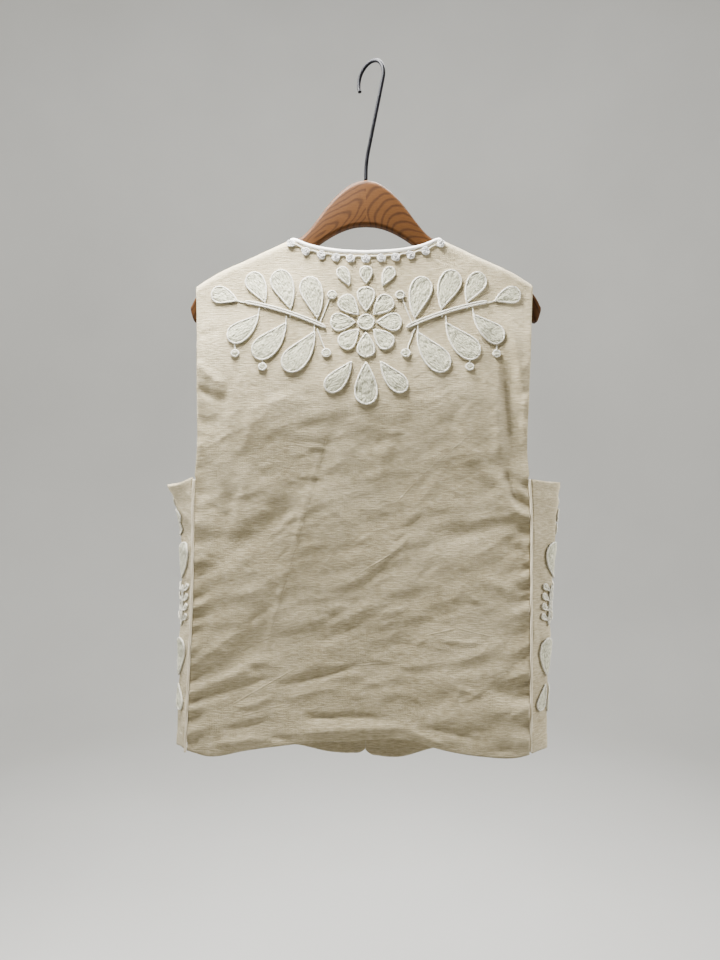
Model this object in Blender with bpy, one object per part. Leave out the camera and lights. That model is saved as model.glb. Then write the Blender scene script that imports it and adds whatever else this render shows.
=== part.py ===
"""A linen waistcoat hanging on a wooden hanger, seen from behind, as a set of closed solids.

Metres, +Z up. The origin is the inner top of the hook. +X is the wearer's right, +Y the wearer's
front. Each cloth piece is cut flat, as an outline in its own two coordinates, and a drape function
carries it to its hanging form: the back by (across, height) and each front by (run, height), where
the run is measured along the cloth from the centre front, round the side fold to the side seam.
"""
import math

import bmesh
import bpy
import numpy as np
from mathutils.geometry import delaunay_2d_cdt

MM = 0.001

# Cloth
WALL = 2.0 * MM
SEAM_GAP = 0.3 * MM
RELIEF = 1.6 * MM
RELIEF_SLOPE = 0.9 * MM
STRIP_REACH = 2.2 * MM
GRID_STEP = 24 * MM
GRID_HEIGHTS = np.arange(-31, -8) * GRID_STEP - 4 * MM
SHOULDER_STEP = 16 * MM
ROLL_SHARES = (0.02, 0.28, 0.53, 0.77)
EDGE_CLEAR = 3 * MM
MOTIF_CLEAR = 3 * MM
NORMAL_STEP = 0.4 * MM

# Stem of the hook, as seen from the hook's inner top
STEM_X = -5.5 * MM
STEM_Y = 5.5 * MM

# Shoulders: the cloth rolls over the hanger on a round of this outer radius
ROLL = 10 * MM
ROLL_FADE = 90 * MM
BOW_SLOPE = 0.07
BOW_ROUND = 30 * MM
RIDGE_COLUMNS = ("across", "height")
RIDGE_ROWS = (
    (0.000, -0.1525),
    (0.040, -0.1700),
    (0.080, -0.1893),
    (0.125, -0.2090),
    (0.166, -0.2275),
    (0.188, -0.2407),
)

# Body rings, from the shoulders to the hem, left and right as seen from behind
BODY_COLUMNS = (
    "height", "edge_left", "edge_right", "outer_left", "outer_right",
    "seam_depth", "outer_depth", "front_depth", "recess",
)
BODY_ROWS = (
    (-0.780, 0.1985, 0.1800, 0.2137, 0.2040, -0.0085, 0.018, 0.047, 0.017),
    (-0.705, 0.1955, 0.1804, 0.2115, 0.2044, -0.0085, 0.018, 0.047, 0.014),
    (-0.648, 0.1930, 0.1806, 0.2098, 0.2067, -0.0085, 0.018, 0.047, 0.010),
    (-0.592, 0.1905, 0.1808, 0.2082, 0.2090, -0.0085, 0.018, 0.047, 0.006),
    (-0.547, 0.1895, 0.1810, 0.2077, 0.2112, -0.0085, 0.018, 0.046, 0.003),
    (-0.503, 0.1893, 0.1808, 0.2095, 0.2146, -0.0085, 0.018, 0.045, 0.001),
    (-0.484, 0.1893, 0.1802, 0.2141, 0.2168, -0.0085, 0.018, 0.044, 0.000),
    (-0.460, 0.1880, 0.1788, 0.2231, 0.2179, -0.0085, 0.018, 0.043, 0.000),
    (-0.430, 0.1848, 0.1764, 0.2235, 0.2183, -0.0085, 0.018, 0.040, 0.000),
    (-0.380, 0.1842, 0.1768, 0.2235, 0.2183, -0.0090, 0.018, 0.034, 0.000),
    (-0.320, 0.1848, 0.1796, 0.2235, 0.2183, -0.0095, 0.019, 0.024, 0.000),
    (-0.240, 0.1880, 0.1850, 0.2235, 0.2183, -0.0100, 0.020, 0.012, 0.000),
)
RECESS_POWER = 1.3
FOLD_RADIUS = 12 * MM
FRONT_SWELL = 4 * MM
FRONT_GAP = 1.5 * MM

# Neck and armholes
NECK_HALF = 84.5 * MM
BACK_NECK_HEIGHT = -210.2 * MM
FRONT_NECK_HEIGHT = -302 * MM
UNDERARM_HEIGHT = -456 * MM
UNDERARM_ROUND = 9 * MM
ARMHOLE_STEP_UP = 6 * MM
SHOULDER_TIP = -245 * MM
UNDERARM_COLUMNS = ("share", "left", "right")
UNDERARM_ROWS = (
    (0.00, -0.4560, -0.4560),
    (0.40, -0.4615, -0.4590),
    (0.62, -0.4622, -0.4590),
    (1.00, -0.4535, -0.4555),
)

# Hems: the back by its place across, each front by its run from the centre
SEAM_FOOT = -753.5 * MM
OPENING_FOOT = -762 * MM
CORNER_RUNS = (0.034, 0.018, 0.005)
BACK_HEM_COLUMNS = ("across", "height")
BACK_HEM_ROWS = (
    (-0.1980, -0.7510),
    (-0.1745, -0.7580),
    (-0.1320, -0.7532),
    (-0.0750, -0.7470),
    (-0.0160, -0.7445),
    (0.0300, -0.7420),
    (0.0530, -0.7435),
    (0.0770, -0.7505),
    (0.1300, -0.7583),
    (0.1660, -0.7592),
    (0.1800, -0.7558),
)
FRONT_HEM_COLUMNS = ("run", "left", "right")
FRONT_HEM_ROWS = (
    (0.000, -0.7700, -0.7715),
    (0.004, -0.7730, -0.7750),
    (0.017, -0.7747, -0.7782),
    (0.035, -0.7738, -0.7793),
    (0.080, -0.7640, -0.7677),
    (0.140, -0.7595, -0.7605),
    (0.205, -0.7565, -0.7565),
    (0.235, -0.7535, -0.7560),
    (0.260, -0.7505, -0.7555),
)

# Largest folds: a soft trough (depth below 0) or ridge (above 0) along a line, on one piece
FOLD_COLUMNS = ("piece", "from_u", "from_h", "to_u", "to_h", "width", "depth")
FOLD_ROWS = (
    ("back", 0.128, -0.262, 0.176, -0.452, 0.020, -0.0032),
    ("back", 0.152, -0.262, 0.184, -0.420, 0.013, 0.0020),
    ("back", -0.185, -0.560, -0.060, -0.470, 0.022, -0.0022),
    ("back", -0.190, -0.690, -0.090, -0.610, 0.022, -0.0022),
    ("back", 0.178, -0.500, 0.080, -0.520, 0.016, -0.0020),
    ("back", -0.085, -0.733, 0.060, -0.728, 0.012, 0.0022),
    ("left", 0.150, -0.330, 0.170, -0.450, 0.020, -0.0022),
    ("left", 0.030, -0.560, 0.120, -0.690, 0.026, -0.0026),
    ("right", 0.150, -0.330, 0.170, -0.450, 0.020, -0.0022),
    ("right", 0.040, -0.500, 0.130, -0.640, 0.026, -0.0026),
)

# Trim
BINDING_WIDTH = 4.4 * MM
BINDING_THICK = 2.6 * MM
PIPING_RADIUS = 1.5 * MM
PIPING_STEP = 20 * MM
ROSETTE_COUNT = 11
ROSETTE_RADIUS = 5.3 * MM
ROSETTE_THICK = 2.6 * MM
ROSETTE_DROP = 5.4 * MM
ROSETTE_SPAN = 0.965
ROSETTE_PROFILE_COLUMNS = ("wide", "high")
ROSETTE_PROFILE = ((0.92, 0.0), (1.0, 0.45), (0.72, 0.85), (0.30, 1.0))
BINDING_SIDES = 8

# Hanger, one half of its outline, and its hook
HANGER_THICK = 13 * MM
HANGER_LOW_ROUND = 2.5 * MM
HANGER_COLUMNS = ("across", "top", "bottom")
HANGER_ROWS = (
    (0.0000, -0.1262, -0.1765),
    (0.0120, -0.1288, -0.1774),
    (0.0278, -0.1390, -0.1822),
    (0.0418, -0.1535, -0.1895),
    (0.0545, -0.1700, -0.1980),
    (0.0664, -0.1838, -0.2062),
    (0.0800, -0.1926, -0.2155),
    (0.1020, -0.2025, -0.2275),
    (0.1250, -0.2121, -0.2410),
    (0.1480, -0.2225, -0.2552),
    (0.1640, -0.2301, -0.2660),
    (0.1770, -0.2390, -0.2750),
    (0.1862, -0.2480, -0.2802),
    (0.1918, -0.2565, -0.2785),
    (0.1945, -0.2625, -0.2700),
)
HOOK_RADIUS = 19 * MM
WIRE_RADIUS = 2 * MM
HOOK_TURN = math.radians(45)
HOOK_TIP_ANGLE = math.radians(-25)
HOOK_START_ANGLE = math.radians(-14)
HOOK_STEPS = 24
HOOK_SEAT = 0.4 * MM
HOOK_KNEE = -106 * MM
HOOK_KNEE_COLUMNS = ("aside", "lift")
HOOK_KNEE_ROWS = ((0.0, -0.010), (0.0006, -0.003), (0.0022, 0.006))

# Raised leaf, petal and berry forms. A leaf stands on its base point and points along its angle,
# which is measured from the across direction; a row with both = 1 has a mirrored twin.
MOTIF_COLUMNS = ("shape", "u", "h", "angle", "length", "width", "bend", "both")
FLOWER_COLUMNS = ("u", "h", "gap", "length", "width", "count")
BACK_FLOWER = (0.0, -0.2850, 0.0120, 0.0260, 0.0195, 8)
BACK_MOTIFS = (
    ("berry", 0.0000, -0.2850, 0, 0.0170, 0.0170, 0, 0),
    ("leaf", 0.0000, -0.3295, -90, 0.0450, 0.0250, 0, 0),
    ("leaf", 0.0160, -0.3285, -48, 0.0410, 0.0200, 25, 1),
    ("leaf", 0.0000, -0.2425, 90, 0.0180, 0.0140, 0, 0),
    ("leaf", 0.0185, -0.2450, 60, 0.0220, 0.0130, -25, 1),
    ("stem", 0.0440, -0.2905, 18, 0.0930, 0.0036, -14, 1),
    ("leaf", 0.0530, -0.2805, 74, 0.0460, 0.0240, -25, 1),
    ("leaf", 0.0820, -0.2705, 68, 0.0450, 0.0240, -25, 1),
    ("leaf", 0.1100, -0.2630, 60, 0.0370, 0.0210, -25, 1),
    ("leaf", 0.0560, -0.2960, -50, 0.0520, 0.0260, 30, 1),
    ("leaf", 0.0870, -0.2860, -45, 0.0500, 0.0250, 30, 1),
    ("leaf", 0.1170, -0.2770, -38, 0.0420, 0.0220, 30, 1),
    ("leaf", 0.1410, -0.2605, 18, 0.0300, 0.0190, -20, 1),
    ("berry", 0.0430, -0.3190, 0, 0.0090, 0.0090, 0, 1),
    ("berry", 0.0370, -0.2550, 0, 0.0090, 0.0090, 0, 1),
    ("berry", 0.1120, -0.3340, 0, 0.0080, 0.0080, 0, 1),
    ("berry", 0.1420, -0.3190, 0, 0.0080, 0.0080, 0, 1),
)
FRONT_FLOWER = (0.2000, -0.4960, 0.0090, 0.0195, 0.0145, 8)
FRONT_MOTIFS = (
    ("berry", 0.2000, -0.4960, 0, 0.0125, 0.0125, 0, 0),
    ("leaf", 0.2200, -0.5660, 78, 0.0410, 0.0225, 24, 0),
    ("leaf", 0.1960, -0.5680, 128, 0.0470, 0.0240, -30, 0),
    ("stem", 0.2260, -0.6180, 90, 0.0440, 0.0036, 0, 0),
    ("leaf", 0.2225, -0.6740, 84, 0.0420, 0.0220, 18, 0),
    ("leaf", 0.2030, -0.6800, 122, 0.0480, 0.0260, -25, 0),
    ("leaf", 0.2120, -0.6860, -90, 0.0300, 0.0165, 0, 0),
    ("leaf", 0.2250, -0.6840, -70, 0.0280, 0.0145, 12, 0),
    ("leaf", 0.1980, -0.6850, -118, 0.0280, 0.0150, -20, 0),
    ("leaf", 0.1580, -0.4960, 180, 0.0470, 0.0240, 0, 0),
    ("leaf", 0.1610, -0.4760, 138, 0.0370, 0.0180, -25, 0),
    ("leaf", 0.1610, -0.5160, 222, 0.0370, 0.0180, 25, 0),
    ("leaf", 0.1660, -0.6080, 180, 0.0520, 0.0260, 0, 0),
    ("leaf", 0.1640, -0.5880, 146, 0.0420, 0.0190, -25, 0),
    ("leaf", 0.1640, -0.6280, 214, 0.0420, 0.0190, 25, 0),
    ("berry", 0.1000, -0.5400, 0, 0.0100, 0.0100, 0, 0),
    ("berry", 0.0960, -0.6080, 0, 0.0100, 0.0100, 0, 0),
    ("berry", 0.1120, -0.6700, 0, 0.0100, 0.0100, 0, 0),
    ("leaf", 0.1500, -0.7040, 186, 0.0430, 0.0200, -20, 0),
)
LEAF_FULL = 1.64
SPRIG_PAIRS = 4
SPRIG_BASE = (0.2260, -0.6120)
SPRIG_STEP = 11 * MM
SPRIG_GAP = 3.4 * MM
SPRIG_LEAN = 55
SPRIG_LEAF = (0.0120, 0.0062)

# Colour, roughness and metallic value of each finish
FINISHES = {
    "linen": ((0.62, 0.56, 0.46), 0.92, 0.0),
    "cord": ((0.84, 0.82, 0.76), 0.85, 0.0),
    "cedar": ((0.50, 0.29, 0.16), 0.48, 0.0),
    "black_wire": ((0.012, 0.012, 0.014), 0.22, 1.0),
}


def column(rows, columns, name):
    return np.array([row[columns.index(name)] for row in rows])


def smooth_table(rows, columns, key, name, place):
    """Read one column of a table at any place of its key column, on a smooth cubic curve."""
    keys = column(rows, columns, key)
    values = column(rows, columns, name)
    slopes = np.gradient(values, keys)
    place = np.clip(place, keys[0], keys[-1])
    i = np.clip(np.searchsorted(keys, place) - 1, 0, len(keys) - 2)
    width = keys[i + 1] - keys[i]
    t = (place - keys[i]) / width
    rise = t * t * (3 - 2 * t)
    start = values[i] + (values[i + 1] - values[i]) * rise
    return start + width * (slopes[i] * t * (1 - t) ** 2 - slopes[i + 1] * t * t * (1 - t))


def body(name, z):
    return smooth_table(BODY_ROWS, BODY_COLUMNS, "height", name, z)


def ridge(x):
    return smooth_table(RIDGE_ROWS, RIDGE_COLUMNS, "across", "height", np.abs(x))


def bow(x):
    """The hanger's arms swing towards the front, on a hyperbola that is round at the middle."""
    return BOW_SLOPE * (np.sqrt(x * x + BOW_ROUND * BOW_ROUND) - BOW_ROUND)


def soft_step(t):
    t = np.clip(t, 0, 1)
    return t * t * (3 - 2 * t)


def fold_height(piece, u, h):
    """Sum of the folds on a piece: each is a bell across its line, fading out at its two ends."""
    total = np.zeros_like(u)
    for fold in (dict(zip(FOLD_COLUMNS, row)) for row in FOLD_ROWS if row[0] == piece):
        along_u = fold["to_u"] - fold["from_u"]
        along_h = fold["to_h"] - fold["from_h"]
        length = math.hypot(along_u, along_h)
        du = u - fold["from_u"]
        dh = h - fold["from_h"]
        t = (du * along_u + dh * along_h) / (length * length)
        off = (du * along_h - dh * along_u) / length
        ends = soft_step(4 * t) * soft_step(4 * (1 - t))
        total = total + fold["depth"] * ends * np.exp(-((off / (fold["width"] / 2)) ** 2))
    return total


def over_hanger(x, h, y, out):
    """Roll the top of a piece over the hanger; out is -1 on the back and +1 on a front."""
    top = ridge(x)
    hold = soft_step((h - top + ROLL + ROLL_FADE) / ROLL_FADE)
    y = y * (1 - hold) + (out * ROLL + bow(x)) * hold
    angle = np.clip((h - top + ROLL) / ROLL, 0, math.pi / 2)
    z = np.where(h > top - ROLL, top - ROLL + ROLL * np.sin(angle), h)
    return np.stack([x + STEM_X, y - out * ROLL * (1 - np.cos(angle)) + STEM_Y, z], axis=-1)


def back_drape(u, h):
    """Outer face of the back: a sheet at the seams' depth that sinks in towards the hem."""
    u = np.asarray(u, float)
    h = np.asarray(h, float)
    left = body("edge_left", h)
    right = body("edge_right", h)
    middle = (right - left) / 2
    half = (right + left) / 2
    inset = np.clip(1 - ((u - middle) / half) ** 2, 0, 1)
    y = body("seam_depth", h) + body("recess", h) * inset ** RECESS_POWER
    return over_hanger(u, h, y - fold_height("back", u, h), -1)


def ring(side, z):
    """One front's ring at a height: a straight run from the centre front, a round fold at the
    side, and a straight run to the side seam, where both runs are tangents of the fold."""
    name = "right" if side > 0 else "left"
    start = np.stack([np.full_like(z, FRONT_GAP / 2), body("front_depth", z)])
    seam = np.stack([body("edge_" + name, z), body("seam_depth", z)])
    centre = np.stack([body("outer_" + name, z) - FOLD_RADIUS, body("outer_depth", z)])
    reach_a = np.hypot(*(start - centre))
    reach_b = np.hypot(*(seam - centre))
    bearing = np.arctan2(*(start - centre)[::-1]) % (2 * math.pi)
    angle_a = bearing - np.arccos(FOLD_RADIUS / reach_a)
    angle_b = np.arctan2(*(seam - centre)[::-1]) + np.arccos(FOLD_RADIUS / reach_b)
    run_a = np.sqrt(reach_a ** 2 - FOLD_RADIUS ** 2)
    run_b = np.sqrt(reach_b ** 2 - FOLD_RADIUS ** 2)
    arc = FOLD_RADIUS * (angle_a - angle_b)
    return start, seam, centre, angle_a, angle_b, run_a, arc, run_b


def ring_length(side, z):
    parts = ring(side, np.asarray(z, float))
    return parts[5] + parts[6] + parts[7]


def front_drape(side, u, h):
    """Outer face of a front at run u and height h; side is +1 on the right and -1 on the left."""
    u = np.asarray(u, float)
    h = np.asarray(h, float)
    start, seam, centre, angle_a, angle_b, run_a, arc, run_b = ring(side, h)
    share_a = np.clip(u / run_a, 0, 1)
    share_b = np.clip((u - run_a - arc) / run_b, 0, 1.2)
    angle = angle_a - np.clip(u - run_a, 0, arc) / FOLD_RADIUS
    touch = centre + FOLD_RADIUS * np.stack([np.cos(angle), np.sin(angle)])
    x = np.where(u < run_a, start[0] + (touch[0] - start[0]) * share_a, touch[0])
    y = np.where(u < run_a, start[1] + (touch[1] - start[1]) * share_a, touch[1])
    x = x + (seam[0] - touch[0]) * share_b
    y = y + (seam[1] - touch[1]) * share_b
    piece = "right" if side > 0 else "left"
    y = y + FRONT_SWELL * np.sin(math.pi * share_a) + fold_height(piece, u, h)
    points = over_hanger(x, h, y, 1)
    points[..., 0] = (points[..., 0] - STEM_X) * side + STEM_X
    return points


def run_at(side, x, z):
    """Run at which a front reaches a place across, on its straight stretch."""
    start, _, centre, angle_a, _, run_a, _, _ = ring(side, np.asarray(z, float))
    end = centre[0] + FOLD_RADIUS * np.cos(angle_a)
    return run_a * (x - start[0]) / (end - start[0])


def normals(drape, u, h, sign):
    """Unit normals of a draped piece, from its own two directions; sign turns them outwards."""
    along_u = drape(u + NORMAL_STEP, h) - drape(u - NORMAL_STEP, h)
    along_h = drape(u, h + NORMAL_STEP) - drape(u, h - NORMAL_STEP)
    across = np.cross(along_u, along_h) * sign
    return across / np.linalg.norm(across, axis=-1, keepdims=True)


def seam_top(x):
    """Flat height at which a piece ends on top of the hanger, half a seam gap short of the ridge."""
    return ridge(x) + ROLL * (math.pi / 2 - 1) - 0.7 * SEAM_GAP


def spread(start, end, step):
    count = max(2, int(round(abs(end - start) / step)) + 1)
    return np.linspace(start, end, count)


def back_outline():
    """Outline of the back, from the left hem corner round by the right side and the neck."""
    inset = PIPING_RADIUS + SEAM_GAP
    left_end = -body("edge_left", SEAM_FOOT) + inset
    right_end = body("edge_right", SEAM_FOOT) - inset
    hem_x = np.clip(column(BACK_HEM_ROWS, BACK_HEM_COLUMNS, "across"), left_end, right_end)
    hem = np.stack([hem_x, column(BACK_HEM_ROWS, BACK_HEM_COLUMNS, "height")], 1)
    up = spread(hem[-1, 1], UNDERARM_HEIGHT, GRID_STEP)[1:]
    right_seam = np.stack([body("edge_right", up) - inset, up], 1)
    tip_right = edge_at_tip("right")
    tip_left = edge_at_tip("left")
    rise = spread(UNDERARM_HEIGHT + ARMHOLE_STEP_UP, seam_top(tip_right) - 2 * ROLL, GRID_STEP)
    right_arm = np.stack([body("edge_right", rise), rise], 1)
    left_arm = np.stack([-body("edge_left", rise), rise], 1)[::-1]
    over_right = shoulder_line(tip_right)
    over_left = shoulder_line(tip_left)[::-1] * (-1, 1)
    neck = back_neck()[::-1]
    down = spread(UNDERARM_HEIGHT, hem[0, 1], GRID_STEP)[:-1]
    left_seam = np.stack([-body("edge_left", down) + inset, down], 1)
    edges = (hem, right_seam, right_arm, over_right, neck, over_left, left_arm, left_seam)
    return np.concatenate(edges)


def edge_at_tip(name):
    return float(body("edge_" + name, SHOULDER_TIP))


def shoulder_stations(tip):
    return spread(tip, NECK_HALF, SHOULDER_STEP)


def shoulder_line(tip):
    """Armhole edge up the roll, then the shoulder seam from the tip to the neck."""
    foot = ridge(tip) - ROLL
    rise = np.linspace(foot, seam_top(tip), 5)[:-1]
    up = np.stack([np.full_like(rise, tip), rise], 1)
    x = shoulder_stations(tip)
    return np.concatenate([up, np.stack([x, seam_top(x)], 1)])


def back_neck():
    """Neck edge of the back between the two neck points, left to right: a half ellipse."""
    turn = np.linspace(-math.pi / 2, math.pi / 2, 21)[1:-1]
    lift = seam_top(NECK_HALF) - BACK_NECK_HEIGHT
    return np.stack([NECK_HALF * np.sin(turn), BACK_NECK_HEIGHT + lift * (1 - np.cos(turn))], 1)


def front_neck(side):
    """Neck edge of a front from the opening up to the neck point: a quarter ellipse, with closer
    points where it rolls over the hanger."""
    depth = seam_top(NECK_HALF) - FRONT_NECK_HEIGHT
    foot = ridge(NECK_HALF) - ROLL
    rows = foot + ROLL * math.pi / 2 * np.array(ROLL_SHARES)
    low = np.linspace(0, math.acos(1 - (foot - FRONT_NECK_HEIGHT) / depth), 10)[:-1]
    high = np.arccos(1 - (rows - FRONT_NECK_HEIGHT) / depth)
    turn = np.concatenate([low, high, [math.pi / 2]])
    h = FRONT_NECK_HEIGHT + depth * (1 - np.cos(turn))
    u = run_at(side, np.maximum(NECK_HALF * np.sin(turn), FRONT_GAP / 2), h)
    return np.stack([u, h], 1)


def front_outline(side):
    """Outline of a front, from its hem corner at the centre up the opening and round the neck."""
    name = "right" if side > 0 else "left"
    opening = spread(OPENING_FOOT, FRONT_NECK_HEIGHT, GRID_STEP)
    centre = np.stack([np.zeros_like(opening), opening], 1)
    neck = front_neck(side)[1:]
    tip = edge_at_tip(name)
    over = shoulder_line(tip)[::-1][1:]
    over[:, 0] = run_at(side, over[:, 0], over[:, 1])
    low = UNDERARM_HEIGHT + UNDERARM_ROUND
    fall = spread(seam_top(tip) - 2 * ROLL, low, GRID_STEP)
    arm = np.stack([run_at(side, body("edge_" + name, fall), fall), fall], 1)
    bend = np.linspace(0, math.pi / 2, 4)[1:]
    corner_u = arm[-1, 0] + UNDERARM_ROUND * (1 - np.cos(bend))
    corner = np.stack([corner_u, low - UNDERARM_ROUND * np.sin(bend)], 1)
    inset = PIPING_RADIUS + SEAM_GAP
    last = float(ring_length(side, UNDERARM_HEIGHT)) - inset
    share = np.linspace(0, 1, 10)[1:]
    under_h = smooth_table(UNDERARM_ROWS, UNDERARM_COLUMNS, "share", name, share)
    under = np.stack([corner[-1, 0] + (last - corner[-1, 0]) * share, under_h], 1)
    seam_h = spread(under_h[-1], SEAM_FOOT, GRID_STEP)[1:]
    seam = np.stack([ring_length(side, seam_h) - inset, seam_h], 1)
    even_runs = spread(seam[-1, 0], 2 * GRID_STEP, GRID_STEP)[1:]
    runs = np.concatenate([even_runs, CORNER_RUNS])
    hem_h = smooth_table(FRONT_HEM_ROWS, FRONT_HEM_COLUMNS, "run", name, runs)
    hem = np.stack([runs, hem_h], 1)
    return np.concatenate([centre, neck, over, arm, corner, under, seam, hem])


def leaf_outline(motif):
    """A leaf or petal: half its width grows from its base point as a power of the way along it and
    closes in a round tip, and its spine is an arc of the stated bend. A stem is an even strip."""
    is_stem = motif["shape"] == "stem"
    count = 11 if is_stem else 9
    t = np.linspace(0, 1, count) if is_stem else (1 - np.cos(np.linspace(0, math.pi, count))) / 2
    if is_stem:
        half = np.full(count, motif["width"] / 2)
    else:
        half = motif["width"] / 2 * LEAF_FULL * t ** 0.8 * np.sqrt(1 - t ** 3)
    bend = math.radians(motif["bend"])
    heading = math.radians(motif["angle"]) + bend * (t - 0.5)
    step = motif["length"] * np.diff(t)
    middle = (heading[1:] + heading[:-1]) / 2
    x = motif["u"] + np.concatenate([[0], np.cumsum(step * np.cos(middle))])
    y = motif["h"] + np.concatenate([[0], np.cumsum(step * np.sin(middle))])
    aside = np.stack([-np.sin(heading), np.cos(heading)], 1) * half[:, None]
    spine = np.stack([x, y], 1)
    if is_stem:
        return np.concatenate([spine - aside, (spine + aside)[::-1]])
    return np.concatenate([(spine - aside)[:-1], (spine + aside)[:0:-1]])


def motif_outline(motif):
    if motif["shape"] != "berry":
        return leaf_outline(motif)
    turn = np.linspace(0, 2 * math.pi, 9)[:-1]
    radius = motif["length"] / 2
    return np.stack([motif["u"] + radius * np.cos(turn), motif["h"] + radius * np.sin(turn)], 1)


def flower_petals(flower):
    """Petals set evenly round a flower's middle, as motif rows."""
    flower = dict(zip(FLOWER_COLUMNS, flower))
    rows = []
    for k in range(flower["count"]):
        angle = 90 + 360 * k / flower["count"]
        u = flower["u"] + flower["gap"] * math.cos(math.radians(angle))
        h = flower["h"] + flower["gap"] * math.sin(math.radians(angle))
        rows.append(("leaf", u, h, angle, flower["length"], flower["width"], 0, 0))
    return rows


def sprig_leaves():
    """Pairs of small leaves up a sprig's stem, as motif rows."""
    length, width = SPRIG_LEAF
    rows = []
    for k in range(SPRIG_PAIRS):
        height = SPRIG_BASE[1] + SPRIG_STEP * k
        for lean in (-1, 1):
            angle = 90 - SPRIG_LEAN * lean
            rows.append(("leaf", SPRIG_BASE[0] + SPRIG_GAP * lean, height, angle,
                         length, width, 0, 0))
    return rows


def outlines(rows):
    """Outlines of a list of motif rows, with the mirrored twin of each row that has one."""
    loops = []
    for row in rows:
        motif = dict(zip(MOTIF_COLUMNS, row))
        loop = motif_outline(motif)
        loops.append(loop)
        if motif["both"]:
            loops.append((loop * (-1, 1))[::-1])
    return loops


def back_motifs():
    return outlines(list(BACK_MOTIFS) + flower_petals(BACK_FLOWER))


def front_motifs():
    return outlines(list(FRONT_MOTIFS) + flower_petals(FRONT_FLOWER) + sprig_leaves())


def inset_loop(loop, distance):
    """Move a loop that runs anticlockwise inwards by a distance, along its corner normals."""
    before = loop - np.roll(loop, 1, 0)
    after = np.roll(loop, -1, 0) - loop
    before /= np.linalg.norm(before, axis=1, keepdims=True)
    after /= np.linalg.norm(after, axis=1, keepdims=True)
    along = before + after
    along /= np.linalg.norm(along, axis=1, keepdims=True)
    return loop + distance * np.stack([-along[:, 1], along[:, 0]], 1)


def raised_loop(foot):
    """Top edge of a raised form: its foot drawn in to its middle, or on a narrow strip moved in."""
    middle = foot.mean(0)
    reach = np.linalg.norm(foot - middle, axis=1).min()
    if reach < STRIP_REACH:
        return inset_loop(foot, RELIEF_SLOPE)
    return middle + (foot - middle) * (1 - RELIEF_SLOPE / reach)


def edge_distance(points, loop):
    """Distance of each point to a closed loop, below 0 for the points inside it."""
    start = loop[None]
    end = np.roll(loop, -1, 0)[None]
    point = points[:, None]
    run = end - start
    t = np.clip(((point - start) * run).sum(-1) / (run * run).sum(-1), 0, 1)
    near = np.linalg.norm(point - start - run * t[..., None], axis=-1).min(1)
    crosses = (start[..., 1] > point[..., 1]) != (end[..., 1] > point[..., 1])
    rise = np.where(run[..., 1] == 0, 1, run[..., 1])
    at = start[..., 0] + run[..., 0] * (point[..., 1] - start[..., 1]) / rise
    inside = (crosses & (point[..., 0] < at)).sum(1) % 2 == 1
    return np.where(inside, -near, near)


def off_the_roll(points):
    """The even rows' points that lie below the roll over the hanger."""
    return points[below_ridge(points) < -ROLL - EDGE_CLEAR]


def back_grid():
    """Inner points of the back: even rows, and closer ones round the roll at the shoulders."""
    u = np.arange(-8, 9) * GRID_STEP
    h = GRID_HEIGHTS
    points = [off_the_roll(np.stack(np.meshgrid(u, h), -1).reshape(-1, 2))]
    left = shoulder_stations(edge_at_tip("left"))[1:-1]
    right = shoulder_stations(edge_at_tip("right"))[1:-1]
    x = np.concatenate([-left, right])
    for share in ROLL_SHARES:
        points.append(np.stack([x, ridge(x) - ROLL + ROLL * math.pi / 2 * share], 1))
    return np.concatenate(points)


def front_grid(side):
    """Inner points of a front: even rows, closer round the side fold and at the shoulder."""
    points = []
    for z in GRID_HEIGHTS:
        _, _, _, _, _, run_a, arc, run_b = ring(side, np.array([z]))
        run_a, arc, run_b = run_a[0], arc[0], run_b[0]
        u = np.concatenate([
            spread(GRID_STEP, run_a - FOLD_RADIUS / 2, GRID_STEP),
            run_a + arc * np.linspace(0, 1, 5),
            [run_a + arc + run_b / 2],
        ])
        points.append(off_the_roll(np.stack([u, np.full_like(u, z)], 1)))
    name = "right" if side > 0 else "left"
    x = shoulder_stations(edge_at_tip(name))[1:-1]
    for share in ROLL_SHARES:
        h = ridge(x) - ROLL + ROLL * math.pi / 2 * share
        points.append(np.stack([run_at(side, x, h), h], 1))
    return np.concatenate(points)


def below_ridge(points):
    """Height of flat points as seen from the shoulder's slope, so that its rolled rows lie level."""
    return points[:, 1] - ridge(points[:, 0])


def triangulate(points, loop_count, rings):
    """Triangles of a flat outline, kept to the given rings of edges between its points."""
    edges = [pair for ring_ids in rings for pair in zip(ring_ids, ring_ids[1:] + ring_ids[:1])]
    flat = [(float(x) / MM, float(y) / MM) for x, y in zip(points[:, 0], below_ridge(points))]
    found = delaunay_2d_cdt(flat, edges, [list(range(loop_count))], 1, 1e-5)
    source = [ids[0] for ids in found[3]]
    return [[source[v] for v in face] for face in found[2]]


def keep_clear(points, loops, distance):
    """The points that lie at least a distance from every loop."""
    for loop in loops:
        points = points[np.abs(edge_distance(points, loop)) > distance]
    return points


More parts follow.
